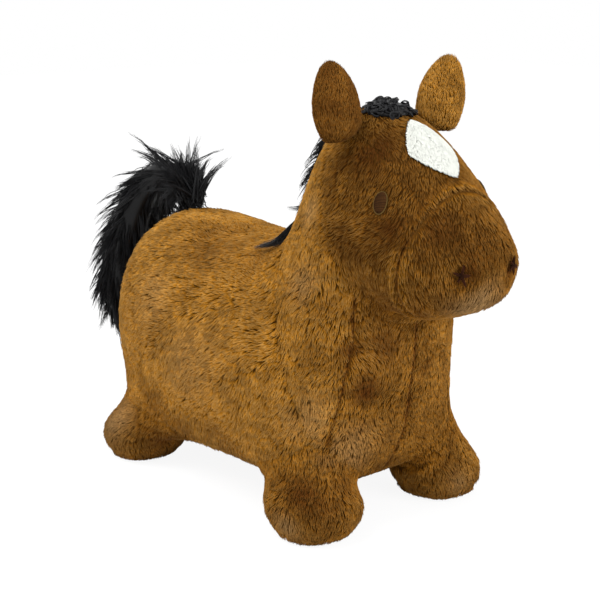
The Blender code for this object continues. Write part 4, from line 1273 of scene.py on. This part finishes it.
@dataclass
class Hair:
    """What every lock of black hair shares: its tree, its finish and how it grows off a surface."""

    skin: Skin
    finish: bpy.types.Material
    tree: bpy.types.NodeTree
    steps: int = 9
    least_clearance: float = 0.002
    bed_start: float = 0.0003
    bed_reach: float = 0.2
    bed_share: float = 0.33
    quick_share: float = 0.5

    def falling(self, root: Vector, start: Vector, length: float, weight: float) -> np.ndarray:
        """Let a lock grow from its root and fall, without passing into the cover.

        Args:
            root: where it starts.
            start: the direction in which it sets off.
            length: its length.
            weight: how fast it turns down.

        Returns:
            The points of its guide line.
        """
        place, aim = root.copy(), start.normalized()
        line = [np.array(place)]
        for _ in range(self.steps - 1):
            place = place + aim * (length / (self.steps - 1))
            near, facing, _, _ = self.skin.tree.find_nearest(place)
            above = (place - near).dot(facing)
            if above < self.least_clearance:
                place = place + facing * (self.least_clearance - above)
            line.append(np.array(place))
            aim = (aim + Vector((0, 0, -weight))).normalized()
        return np.array(line)

    def locks(self, name: str, body: str, lines: Lines, seed: int, strands: int = 10,
              values: dict[str, Any] | None = None) -> None:
        """Turn guide lines into a piece of hair.

        Args:
            name: the piece's name.
            body: the body that it rides on.
            lines: the guide lines.
            seed: the strand tree's seed.
            values: the strand tree's other inputs.
        """
        count = int(strands * (1.0))
        given = {"Strands": count, "Seed": seed, "Finish": self.finish, **(values or {})}
        dress(grow(self.tree, name, guide_mesh(lines), given), body)

    def roots_on(self, mesh: bpy.types.Mesh, count: int,
                 draw: np.random.Generator) -> list[tuple[Vector, Vector]]:
        """Pick places all over a mesh, as many on each part as its area asks, with the surface's normals.

        Args:
            mesh: the mesh.
            count: how many.
            draw: where the chances come from.

        Returns:
            Places and normals.
        """
        areas = np.array([face.area for face in mesh.polygons])
        places = []
        for number in draw.choice(len(areas), count, p=areas / areas.sum()):
            face = mesh.polygons[number]
            corners = np.array([mesh.vertices[v].co for v in face.vertices])
            places.append((Vector(draw.dirichlet(np.ones(len(corners))) @ corners), face.normal.copy()))
        return places

    def bed(self, node: str, body: str, shrink: float, fill: float) -> bpy.types.Mesh:
        """Make the dense dark mass under the locks from a node's own form, drawn in.

        Args:
            node: the node that it stands for.
            body: the body that it rides on.
            shrink: how far its surface is drawn in, or a third of its thickness where that is less.
            fill: not used.

        Returns:
            Its mesh.
        """
        mesh = rounded(node)
        points, normals = (read_vectors(mesh.vertices, name) for name in ("co", "normal"))
        known = surface_tree(mesh)
        through = [known.ray_cast(Vector(p - n * self.bed_start), Vector(-n), self.bed_reach)[3] or 0.0
                   for p, n in zip(points, normals)]
        move_points(mesh, points - normals * np.minimum(shrink, np.array(through) * self.bed_share)[:, None])
        dress(new_object(node + "_bed", mesh), body, self.finish, (node,))
        return mesh


@dataclass
class Tail:
    """The long-haired tail: it rises from the rump, bends over and hangs to the left."""

    hair: Hair
    root: Triple = (-0.172, 0.0, 0.302)
    reach: float = 0.128
    sway: float = 0.042
    rise: float = 0.031
    drop: float = 0.215
    shares: tuple[Triple, ...] = ((0.0, 0.0, 0.0), (0.14, 0.03, 0.70), (0.38, 0.14, 0.94), (0.68, 0.36, 0.06),
                                  (0.91, 0.64, -0.30), (1.0, 0.90, -0.62), (0.97, 1.0, -0.90))
    spine_points: int = 60
    hanging_points: int = 36
    locks: int = 280
    dock_locks: int = 130
    hanging: int = 140
    loose: int = 90
    lock_length: float = 0.060
    seed: int = 11

    def spine(self) -> np.ndarray:
        """Work out the points of the line that the tail follows, from the root to the tip.

        Returns:
            The points.
        """
        rows = []
        for back, side, level in self.shares:
            height = level * (self.rise if level > 0 else self.drop)
            rows.append(np.array(self.root) + np.array((-back * self.reach, side * self.sway, height)))
        return smooth_line(np.array(rows), self.spine_points)

    def guides(self, bed: bpy.types.Mesh, count: int, spread: Pair, draw: np.random.Generator) -> Lines:
        """Root locks all over the bed and lay them down the tail, each over the next.

        Args:
            bed: the mass that they grow from.
            count: how many locks.
            spread: the least and most that a lock leans outwards.
            draw: where the chances come from.

        Returns:
            The guide lines.
        """
        spine = self.spine()
        ways = unit_rows(np.gradient(spine, axis=0))
        known = point_tree(spine)
        lines = []
        for root, facing in self.hair.roots_on(bed, count, draw):
            step = known.find(root)[1]
            share = step / (len(spine) - 1)
            aim = Vector(ways[step]) + facing * draw.uniform(*spread)
            length = self.lock_length * draw.uniform(0.7, 1.2) * (1 - 0.45 * share ** 2)
            lines.append(self.hair.falling(root - facing * 0.002, aim, length, 0.03 + 0.09 * share))
        return lines

    def dock_lines(self, draw: np.random.Generator) -> Lines:
        """Let locks hang between the tail and the rump, and raise others from the dock itself.

        None of them leans far forwards, so that they clear the back when the tail rises.

        Args:
            draw: where the chances come from.

        Returns:
            The guide lines.
        """
        lines = []
        spine = self.spine()
        for _ in range(self.hanging):
            root = Vector(spine[draw.integers(0, self.hanging_points)]) + Vector(draw.normal(0, 0.005, 3))
            aim = Vector((draw.uniform(-0.7, 0.1), draw.normal(-0.1, 0.35), draw.uniform(-0.9, -0.2)))
            lines.append(self.hair.falling(root, aim, self.lock_length * draw.uniform(0.5, 0.85), 0.06))
        for _ in range(self.dock_locks):
            root = Vector(self.root) + Vector(draw.normal(0, 0.006, 3))
            aim = Vector((draw.uniform(-1.1, 0.08), draw.normal(0.05, 0.30), draw.uniform(0.60, 1.0)))
            lines.append(self.hair.falling(root, aim, self.lock_length * draw.uniform(0.75, 1.25), 0.12))
        return lines

    def build(self) -> None:
        """Make the tail's bed, the locks that lie over it and the loose ends round them."""
        draw = np.random.default_rng(self.seed)
        bed = self.hair.bed("tail", "tail", 0.012, 0.7)
        self.hair.locks("tail_locks", "tail", self.guides(bed, self.locks, (0.15, 0.80), draw), self.seed)
        self.hair.locks("tail_dock_locks", "tail", self.dock_lines(draw), self.seed + 2)
        loose = self.guides(bed, self.loose, (0.75, 1.35), draw)
        self.hair.locks("tail_loose_ends", "tail", loose, self.seed + 1, 8, {
            "Lock Radius": 0.0036, "Tip Share": 0.15, "Strand Width": 0.0011, "Frizz": 0.014,
            "Shortest": 0.6})


@dataclass
class Mane:
    """The mane down the crest, with one lock that has slipped over the right shoulder."""

    hair: Hair
    locks: int = 210
    lock_length: float = 0.036
    strays: int = 8
    stray_top: float = 0.385
    seed: int = 23
    slipped_locks: int = 7
    slipped: tuple[Triple, ...] = ((0.098, -0.012, 0.336), (0.104, -0.056, 0.319), (0.085, -0.066, 0.299),
                                   (0.056, -0.064, 0.289), (0.028, -0.058, 0.281))

    def faces_out(self, place: Vector, facing: Vector) -> bool:
        """Tell whether a place on the mane looks away from the neck."""
        near, skin_facing, _, _ = self.hair.skin.tree.find_nearest(place)
        return facing.dot(skin_facing) > 0.1 and (place - near).dot(skin_facing) > 0.001

    def build(self) -> None:
        """Make the mane's bed, its locks and the slipped lock."""
        draw = np.random.default_rng(self.seed + 1)
        bed = self.hair.bed("mane", "root", 0.0075, 0.6)
        roots = [root for root in self.hair.roots_on(bed, self.locks * 2, draw) if self.faces_out(*root)]
        lines = []
        for place, facing in roots[:self.locks]:
            side = 1.0 if place.y > 0 else -1.0
            lean = draw.uniform(0.15, 0.6)
            aim = facing * lean + Vector((-0.15, side * draw.uniform(0.0, 0.6), draw.uniform(-0.9, 0.0)))
            length = self.lock_length * draw.uniform(0.6, 1.05)
            lines.append(self.hair.falling(place - facing * 0.002, aim, length, 0.2))
        behind = [root for root in roots if root[1].x < -0.25 and root[0].z < self.stray_top]
        for place, facing in behind[:self.strays]:
            aim = facing + Vector((-0.5, draw.normal(0, 0.3), draw.uniform(-0.4, 0.2)))
            lines.append(self.hair.falling(place, aim, self.lock_length * 0.9, 0.02))
        for _ in range(self.slipped_locks):
            shift = draw.normal(0, 0.0022, 3)
            points = np.array(self.slipped) + shift * np.linspace(1.6, 0.3, len(self.slipped))[:, None]
            lines.append(smooth_line(points, self.hair.steps))
        self.hair.locks("mane_locks", "root", lines, self.seed, 10,
                        {"Lock Radius": 0.0036, "Tip Share": 0.25, "Frizz": 0.008})


@dataclass
class Forelock:
    """The curly forelock: small springy loops of black hair between the ears."""

    hair: Hair
    curls: int = 60
    turns: float = 1.7
    radius: float = 0.0042
    climb: float = 0.001
    steps: int = 22
    seed: int = 31

    def build(self) -> None:
        """Make the forelock's bed and its curls."""
        draw = np.random.default_rng(self.seed)
        bed = self.hair.bed("forelock", "root", 0.0060, 0.6)
        roots = [root for root in self.hair.roots_on(bed, self.curls * 2, draw) if root[1].z > 0.1]
        lines = []
        for place, facing in roots[:self.curls]:
            lean = (facing + Vector(draw.normal(0, 0.45, 3))).normalized()
            first = lean.orthogonal().normalized()
            second = lean.cross(first)
            size = self.radius * draw.uniform(0.7, 1.15)
            phase = draw.uniform(0, math.tau)
            line = []
            for share in np.linspace(0, 1, self.steps):
                angle = phase + share * self.turns * math.tau
                ring = (first * math.cos(angle) + second * math.sin(angle)) * size * min(1.0, share * 3)
                line.append(np.array(place + ring + lean * (self.climb * share)))
            lines.append(np.array(line))
        self.hair.locks("forelock_curls", "root", lines, self.seed, values={
            "Strands": 3, "Lock Radius": 0.0009, "Tip Share": 1.0, "Strand Width": 0.0015, "Tip Width": 0.5,
            "Frizz": 0.001, "Frizz Size": 0.01, "Shortest": 0.7, "Sides": 4})


@dataclass
class Plush:
    """One kind of plush: its cloth, and how densely its tufts stand and how they lie."""

    finish: bpy.types.Material
    backing: bpy.types.Material
    tree: bpy.types.NodeTree
    tufts: Tuft
    density: float
    width: float
    lift: float
    lock_density: float
    lock_pull: float
    lock_turn: float
    ruffle: float
    fill: float
    thickness: float = 0.0006
    quick_share: float = 0.5
    most_triangles: float = 170000.0

    def back(self, panel: str, sheet: bpy.types.Mesh, body: str, slot: str) -> None:
        """Make a panel's cloth, which stands for its node."""
        cloth = new_object(f"backing_{panel}", thickened(sheet, self.thickness))
        dress(cloth, body, self.backing, (panel,))

    def pile(self, name: str, sheet: bpy.types.Mesh, body: str, slot: str, seed: int) -> None:
        """Args:
            name: the piece's name, which has its panel's in it.
            sheet: the sheet, which is used up.
            body: the body that it rides on.
            slot: not used.
            seed: the pile tree's seed.
        """
        share = 1.0
        panel = name.removeprefix("pile_").rstrip("_0123456789")
        dress(grow(self.tree, name, sheet, {
            "Density": self.density * share, "Lift": self.lift,
            "Width": self.width * PANEL_CUTS[kind_of(panel)].fineness / math.sqrt(share),
            "Lock Density": self.lock_density, "Lock Pull": self.lock_pull, "Lock Turn": self.lock_turn,
            "Ruffle": self.ruffle, "Seed": seed, "Tufts": self.tufts.collection,
            "Finish": self.finish}), body)

    def strips(self, sheet: bpy.types.Mesh) -> list[bpy.types.Mesh]:
        """Cut a large sheet along X into strips whose pile stays under the most triangles a piece may have.

        Args:
            sheet: a panel's sheet.

        Returns:
            The sheet itself, or its strips from the rear to the front.
        """
        areas = np.array([face.area for face in sheet.polygons])
        count = math.ceil(sum(areas) * self.density * self.tufts.faces / self.most_triangles)
        if count == 1:
            return [sheet]
        order = np.argsort(np.array([face.center.x for face in sheet.polygons]))
        strip_of = np.empty(len(order), int)
        strip_of[order] = np.minimum((np.cumsum(areas[order]) / sum(areas) * count).astype(int), count - 1)
        return [part_of(sheet, strip_of == strip, f"{sheet.name}_{strip + 1}") for strip in range(count)]


@dataclass
class Coat:
    """The brown plush cover: a knitted backing and pile for each panel."""

    skin: Skin
    plush: Plush

    def build(self) -> None:
        """Make every panel's backing and pile."""
        for number, panel in enumerate(self.skin.panels):
            on_head = panel.startswith(("cheek", "forehead", "muzzle", "chin"))
            slot = "sole_fabric" if "sole" in panel else "head_plush" if on_head else "plush"
            sheet = self.skin.panel_sheet(number)
            self.plush.back(panel, sheet, "root", slot)
            for place, strip in enumerate(self.plush.strips(sheet)):
                seed = number * 7 + 1 + 100 * place
                self.plush.pile(f"pile_{panel}_{place + 1}", strip, "root", slot, seed)


@dataclass
class Ear:
    """One stuffed ear: two furred faces sewn round a soft pad, on its own body."""

    side: Side
    plush: Plush
    stuffing: bpy.types.Material
    # Painted light on the left ear and painted shade on the right one: it shifts the warmth, and below zero
    # darkens the pile too
    brushed: dict[Side, float] = field(default_factory=lambda: {Side.LEFT: 0.40, Side.RIGHT: -0.32})

    def build(self) -> None:
        """Make the ear's cloth, its pile and its filling."""
        word = self.side.word
        body, pad = f"ear_{word}", f"ear_pad_{word}"
        cover = Skin([f"ear_front_{word}", f"ear_back_{word}"], core=pad, outer_distance=0.0014, weld=0.0006,
                     stand=0.22, seam_share=0.3, swirl=math.radians(14), presses=(),
                     brushed=self.brushed[self.side])
        for number, panel in enumerate(cover.panels):
            sheet = cover.panel_sheet(number)
            self.plush.back(panel, sheet, body, "head_plush")
            self.plush.pile(f"pile_{panel}", sheet, body, "head_plush", 200 + number + 10 * self.side.value)
        dress(new_object(f"filling_{pad}", rounded(pad)), body, self.stuffing, (pad,))


@dataclass
class Blaze:
    """The white blaze: a small piece of undyed plush let into the forehead."""

    plush: Plush
    node: str = "blaze"
    sink: float = 0.0010
    stand: float = 0.20
    seed: int = 301

    def build(self) -> None:
        """Make the blaze's cloth and its pile."""
        cover = Skin([self.node], outer_distance=0.0040, stand=self.stand, sink=self.sink,
                     swirl=math.radians(10), presses=(), outward=0.3)
        sheet = cover.panel_sheet(0)
        self.plush.back(self.node, sheet, "root", "blaze_plush")
        self.plush.pile("pile_blaze", sheet, "root", "blaze_plush", self.seed)


@dataclass
class Eye:
    """One eye: an oval of satin stitch over a soft pad, with a whipped edge."""

    side: Side
    patch: Patch
    finishes: Materials
    tree: bpy.types.NodeTree
    stitches: int = 58
    stitch_width: float = 0.00058
    stitch_lift: float = 0.00012
    slant: float = 0.25
    edge_width: float = 0.0013
    edge_lift: float = 0.0004
    edge_steps: int = 48
    rings: int = 7
    spokes: int = 36
    thickness: float = 0.0022
    sunk: float = 0.0010
    rim_drop: float = 0.0016

    def face(self, share: float, angle: float, raised: float = 0.0) -> np.ndarray:
        """Find a place on the eye's rounded face, which drops towards its rim."""
        return self.patch.place(share, angle, raised - self.sunk - self.rim_drop * share ** 4)

    def build(self) -> None:
        """Make the ground, the stitches and the edge."""
        word, thread = self.side.word, self.finishes["eye_thread"]
        dress(self.ground(f"eye_ground_{word}"), "root", thread, (self.patch.node,))
        turns = [math.tau * step / self.edge_steps for step in range(self.edge_steps + 1)]
        edge = [np.array([self.face(1.0, turn, self.edge_lift) for turn in turns])]
        for name, lines, width, finish in (
                (f"eye_stitches_{word}", self.stitch_lines(), self.stitch_width, thread),
                (f"eye_edge_{word}", edge, self.edge_width, self.finishes["rim_thread"])):
            values = {**PLAIN_THREAD, "Strand Width": width, "Sides": 6, "Seed": 41, "Finish": finish}
            dress(grow(self.tree, name, guide_mesh(lines), values), "root")

    def ground(self, name: str) -> bpy.types.Object:
        """Make the crowned oval under the stitches, closed.

        Args:
            name: the piece's name.

        Returns:
            The piece.
        """
        part = bmesh.new()
        angles = [math.tau * spoke / self.spokes for spoke in range(self.spokes)]
        middles = [part.verts.new(self.face(0.0, 0.0, depth)) for depth in (0.0, -self.thickness)]
        levels: tuple[list, list] = ([], [])
        for ring in range(1, self.rings + 1):
            for rows, depth in zip(levels, (0.0, -self.thickness)):
                rows.append([part.verts.new(self.face(ring / self.rings, angle, depth)) for angle in angles])
        spans = [(first, (first + 1) % self.spokes) for first in range(self.spokes)]
        for middle, rows in zip(middles, levels):
            for first, second in spans:
                part.faces.new((middle, rows[0][first], rows[0][second]))
                for inner, outer in zip(rows, rows[1:]):
                    part.faces.new((inner[first], outer[first], outer[second], inner[second]))
        upper, lower = levels[0][-1], levels[1][-1]
        for first, second in spans:
            part.faces.new((upper[first], lower[first], lower[second], upper[second]))
        bmesh.ops.recalc_face_normals(part, faces=part.faces[:])
        mesh = finished_mesh(part, name)
        write_attribute(mesh, "along", np.full(len(mesh.vertices), 0.2))
        write_attribute(mesh, "tint", np.full(len(mesh.vertices), 0.3))
        return new_object(name, mesh)

    def stitch_lines(self) -> Lines:
        """Lay slanted stitches side by side from one end of the oval to the other.

        Returns:
            The line of each stitch.
        """
        lines = []
        for number in range(self.stitches):
            level = -0.985 + 1.97 * number / (self.stitches - 1)
            half = math.sqrt(1 - level * level)
            line = []
            for across in np.linspace(-half, half, 9):
                along = level + self.slant * across * (1 - abs(level)) * 0.5
                share = min(1.0, math.hypot(along, across))
                line.append(self.face(share, math.atan2(across, along), self.stitch_lift))
            lines.append(np.array(line))
        return lines


@dataclass
class Nostril:
    """One nostril: the cover pulled into a small star of creases by a few tight stitches."""

    side: Side
    patch: Patch
    finish: bpy.types.Material
    tree: bpy.types.NodeTree
    skin: Skin
    arms: tuple[Pair, ...] = ((0.35, 0.95), (1.75, 0.75), (2.75, 1.15), (3.9, 0.85), (5.2, 1.0))
    strokes: int = 7
    steps: int = 7
    reach: float = 0.0110
    seed: int = 51

    def on_cover(self, share: float, angle: float, raised: float) -> np.ndarray:
        """Find a place on the dented cover, so far out from the tuck's middle.

        Args:
            share: how far out, from zero to one.
            angle: round the tuck, from its long axis.
            raised: how far it stands out of the cover.

        Returns:
            The place.
        """
        patch = self.patch
        way = patch.long * math.cos(angle) + patch.short * math.sin(angle)
        return patch.onto(self.skin.tree, patch.middle + way * self.reach * share, raised)

    def build(self) -> None:
        """Make the tuck's knot and its creases."""
        draw = np.random.default_rng(self.seed)
        lines = []
        for angle, length in self.arms:
            turned = angle * self.side.value
            for _ in range(self.strokes):
                off, far = draw.normal(0, 0.10), length * draw.uniform(0.75, 1.05)
                lines.append(np.array([self.on_cover(s, turned + off * (1 - 0.5 * s), 0.0006 + 0.0018 * s)
                                       for s in np.linspace(0.02, far, self.steps)]))
        piece = grow(self.tree, f"tuck_{self.side.word}", guide_mesh(lines), {
            "Strands": 3, "Lock Radius": 0.0010, "Tip Share": 0.5, "Strand Width": 0.0016, "Tip Width": 0.3,
            "Frizz": 0.0008, "Frizz Size": 0.01, "Shortest": 0.8, "Sides": 4, "Seed": self.seed + 1,
            "Finish": self.finish})
        dress(piece, "root", None, (self.patch.node,))


@dataclass
class Belly:
    """What is under the horse and inside it: the zip between its tapes, the bladder and its plug."""

    finishes: Materials
    tree: bpy.types.NodeTree
    metal: tuple[str, ...] = ("zip_teeth_left", "zip_teeth_right", "zip_slider", "zip_pull", "zip_stop_rear",
                              "zip_stop_front")
    stitch_step: float = 0.0030
    stitch_width: float = 0.0006
    stitch_share: float = 0.72
    stitch_inset: float = 0.0007
    weave_step: float = 0.0010
    weave_rows: int = 6
    rib: float = 0.00008
    crown: float = 0.00025
    tape_level: float = 0.00035
    tape_thickness: float = 0.0006

    def build(self) -> None:
        """Make the tapes and their stitches, fill the bladder, and finish the metal and the plug."""
        for side in Side:
            self.tape(side)
        kept = {**dict.fromkeys(self.metal, "zip_metal"), "valve_plug": "plug"}
        for name, finish in kept.items():
            for place in bpy.data.objects[name].material_slots:
                place.material = self.finishes[finish]
            log.info("%s: finished as %s", name, finish)
        blown = new_object("blown_bladder", rounded("bladder"))
        dress(blown, "root", self.finishes["vinyl"], ("bladder",))

    def tape(self, side: Side) -> None:
        """Make one side's woven tape with its row of stitches.

        Args:
            side: which tape.
        """
        name = f"zip_tape_{side.word}"
        low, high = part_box(name)
        columns = int((high.x - low.x) / self.weave_step)
        part = bmesh.new()
        bmesh.ops.create_grid(part, x_segments=columns, y_segments=self.weave_rows, size=0.5)
        for vert in part.verts:
            along, across = vert.co.x + 0.5, vert.co.y + 0.5
            rib = self.rib * math.cos(math.pi * round(along * columns))
            crown = self.crown * (1 - (2 * across - 1) ** 2)
            vert.co = Vector((low.x + (high.x - low.x) * along, low.y + (high.y - low.y) * across,
                              low.z + self.tape_level - crown - rib))
        bmesh.ops.reverse_faces(part, faces=part.faces[:])
        sheet = finished_mesh(part, "woven_" + name)
        woven = new_object("woven_" + name, thickened(sheet, self.tape_thickness))
        dress(woven, "root", self.finishes["tape"], (name,))
        row = (low.y + high.y) / 2 + side.value * self.stitch_inset
        lines = []
        for start in np.arange(low.x + 0.002, high.x - 0.004, self.stitch_step):
            xs = np.linspace(start, start + self.stitch_step * self.stitch_share, 5)
            lines.append(np.array([(x, row, low.z + 0.0001 + 0.0004 * abs(2 * k / 4 - 1) ** 3)
                                   for k, x in enumerate(xs)]))
        dress(grow(self.tree, f"stitches_{name}", guide_mesh(lines), {
            **PLAIN_THREAD, "Strand Width": self.stitch_width, "Sides": 5, "Seed": 61,
            "Finish": self.finishes["seam_thread"]}), "root")


@dataclass
class Studio:
    """A white floor and soft light, seen from where the photograph was taken."""

    azimuth: float = math.radians(50.6)
    elevation: float = math.radians(14.6)
    focal_px: float = 1229.0
    frame_px: float = 600.0
    ground_px: Pair = (288.5, 467.0)
    distance: float = 1.490
    sensor_mm: float = 36.0
    floor_size: float = 12.0
    floor_lift: float = 0.88
    floor_white: float = 1.03
    world_strength: float = 0.86
    key_power: float = 54.0
    fill_power: float = 46.0
    soles: tuple[str, ...] = ("rear_sole_left", "rear_sole_right", "front_sole_left", "front_sole_right")

    def axes(self) -> tuple[Vector, Vector, Vector]:
        """Find the camera's directions.

        Returns:
            Its right, up and backward directions.
        """
        flat, rise = math.cos(self.elevation), math.sin(self.elevation)
        back = Vector((math.sin(self.azimuth) * flat, -math.cos(self.azimuth) * flat, rise))
        right = Vector((math.cos(self.azimuth), math.sin(self.azimuth), 0.0))
        return right, back.cross(right), back

    def build(self) -> None:
        """Make the camera, the floor, the lamps and the world."""
        self.make_camera()
        self.make_floor()
        right, _, back = self.axes()
        target = Vector((0.0, 0.0, 0.22))
        for name, near, aside, above, size, power in (("key", 0.6, -1.3, 2.2, 1.6, self.key_power),
                                                      ("fill", 1.5, 2.0, 0.7, 1.8, self.fill_power)):
            place = target + back * near + right * aside + Vector((0, 0, above))
            self.make_lamp(name, place, target, size, power)
        self.make_world()
        bpy.context.scene.view_settings.view_transform = "Standard"

    def make_camera(self) -> None:
        """Place the camera so that the soles' middle falls on its pixel."""
        right, up, back = self.axes()
        boxes = [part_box(sole) for sole in self.soles]
        middle = (min(low.x for low, _ in boxes) + max(high.x for _, high in boxes)) / 2
        across, downward = ((pixel - self.frame_px / 2) / self.focal_px for pixel in self.ground_px)
        sight = -back + right * across - up * downward
        data = bpy.data.cameras.new("camera")
        data.sensor_width = self.sensor_mm
        data.lens = self.focal_px / self.frame_px * self.sensor_mm
        data.clip_end = 50.0
        camera = new_object("camera", data)
        turn = Matrix((right, up, back)).transposed().to_4x4()
        camera.matrix_world = Matrix.Translation(Vector((middle, 0, 0)) - sight * self.distance) @ turn
        bpy.context.scene.camera = camera

    def make_floor(self) -> None:
        """Lay a wide white floor, which looks lit from within to the camera and in reflections."""
        part = bmesh.new()
        bmesh.ops.create_grid(part, x_segments=1, y_segments=1, size=self.floor_size / 2)
        mesh = finished_mesh(part, "floor")
        floor = new_object("floor", mesh)
        made = bpy.data.materials.new("matt_white_paper")
        made.use_nodes = True
        made.node_tree.nodes.clear()
        add = partial(add_node, made.node_tree)
        seen = self.seen(add)
        lifted = add("ShaderNodeMath", {0: seen, 1: self.floor_lift}, operation="MULTIPLY")
        paper = add("ShaderNodeBsdfDiffuse", {"Color": linear("FAFAFA")})
        white = add("ShaderNodeEmission", {"Color": linear("FFFFFF"), "Strength": self.floor_white})
        both = add("ShaderNodeMixShader", {0: lifted, 1: paper, 2: white})
        add("ShaderNodeOutputMaterial", {"Surface": both})
        mesh.materials.append(made)

    @staticmethod
    def seen(add: Adder, *others: str) -> bpy.types.Node:
        """Tell the camera's rays, the glossy ones and any other kinds named from the rest.

        Args:
            add: adds a node to the tree.
            others: further kinds of ray.

        Returns:
            One for such a ray and zero for any other.
        """
        rays = add("ShaderNodeLightPath").outputs
        found = rays["Is Camera Ray"]
        for kind in ("Is Glossy Ray", *others):
            found = add("ShaderNodeMath", {0: found, 1: rays[kind]}, operation="MAXIMUM")
        return found

    def make_lamp(self, name: str, place: Vector, target: Vector, size: float, power: float) -> None:
        """Hang one square soft box.

        Args:
            name: the lamp's name.
            place: where it hangs.
            target: what it points at.
            size: the length of its side.
            power: in watts.
        """
        data = bpy.data.lights.new(name, "AREA")
        data.size = size
        data.energy = power
        lamp = new_object(name, data)
        turn = (place - target).to_track_quat("Z", "Y").to_matrix().to_4x4()
        lamp.matrix_world = Matrix.Translation(place) @ turn

    def make_world(self) -> None:
        """Make the air white to the eye and in reflections, and a soft even light to the rest."""
        world = bpy.data.worlds.new("white_room")
        bpy.context.scene.world = world
        world.use_nodes = True
        world.node_tree.nodes.clear()
        add = partial(add_node, world.node_tree)
        clear = self.seen(add, "Is Transmission Ray")
        light, white = (add("ShaderNodeBackground", {"Color": linear("FFFFFF"), "Strength": strength})
                        for strength in (self.world_strength, 1.0))
        both = add("ShaderNodeMixShader", {0: clear, 1: light, 2: white})
        add("ShaderNodeOutputWorld", {"Surface": both})


def main() -> None:
    """Build the horse's looks, sub-assembly by sub-assembly."""
    logging.basicConfig(level=logging.INFO, format="%(name)s %(message)s")
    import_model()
    Studio().build()
    finishes = {name: finish.material() for name, finish in FINISHES.items()}
    eyes = {side: Patch(f"eye_{side.word}", 0.0116, 0.0068, shift_short=-0.0022) for side in Side}
    tucks = {side: Patch(f"nostril_{side.word}", 0.0030, 0.0022, shift_long=-0.002, shift_short=-0.002,
                         reach=0.013, dent=0.0028, gather=3.0, cut=0.5, dark=0.8) for side in Side}
    skin = Skin(COVER_PANELS, covered=("blaze",), patches=(*eyes.values(), *tucks.values()))
    tufts, tree, strands = Tuft(), pile_tree(), strand_tree()
    brown = partial(Plush, finishes["coat"], finishes["backing"], tree, tufts)
    Coat(skin, brown(415000.0, 0.00115, 0.20, 24000.0, 0.28, 0.24, 0.05, 0.9, thickness=0.0007,
                     quick_share=0.4)).build()
    for side in Side:
        Ear(side, brown(800000.0, 0.0008, 0.16, 60000.0, 0.2, 0.3, 0.04, 0.7), finishes["stuffing"]).build()
    Blaze(Plush(finishes["white_pile"], finishes["white_pile"], tree, tufts, 2000000.0, 0.0013, 0.07,
                60000.0, 0.1, 0.2, 0.02, 0.8, quick_share=1.0)).build()
    for side in Side:
        Eye(side, eyes[side], finishes, strands).build()
        Nostril(side, tucks[side], finishes["tuck_thread"], strands, skin).build()
    Belly(finishes, strands).build()
    hair = Hair(skin, finishes["hair"], strands)
    for kind in (Tail, Mane, Forelock):
        kind(hair).build()
    tufts.clear()


if __name__ == "__main__":
    main()
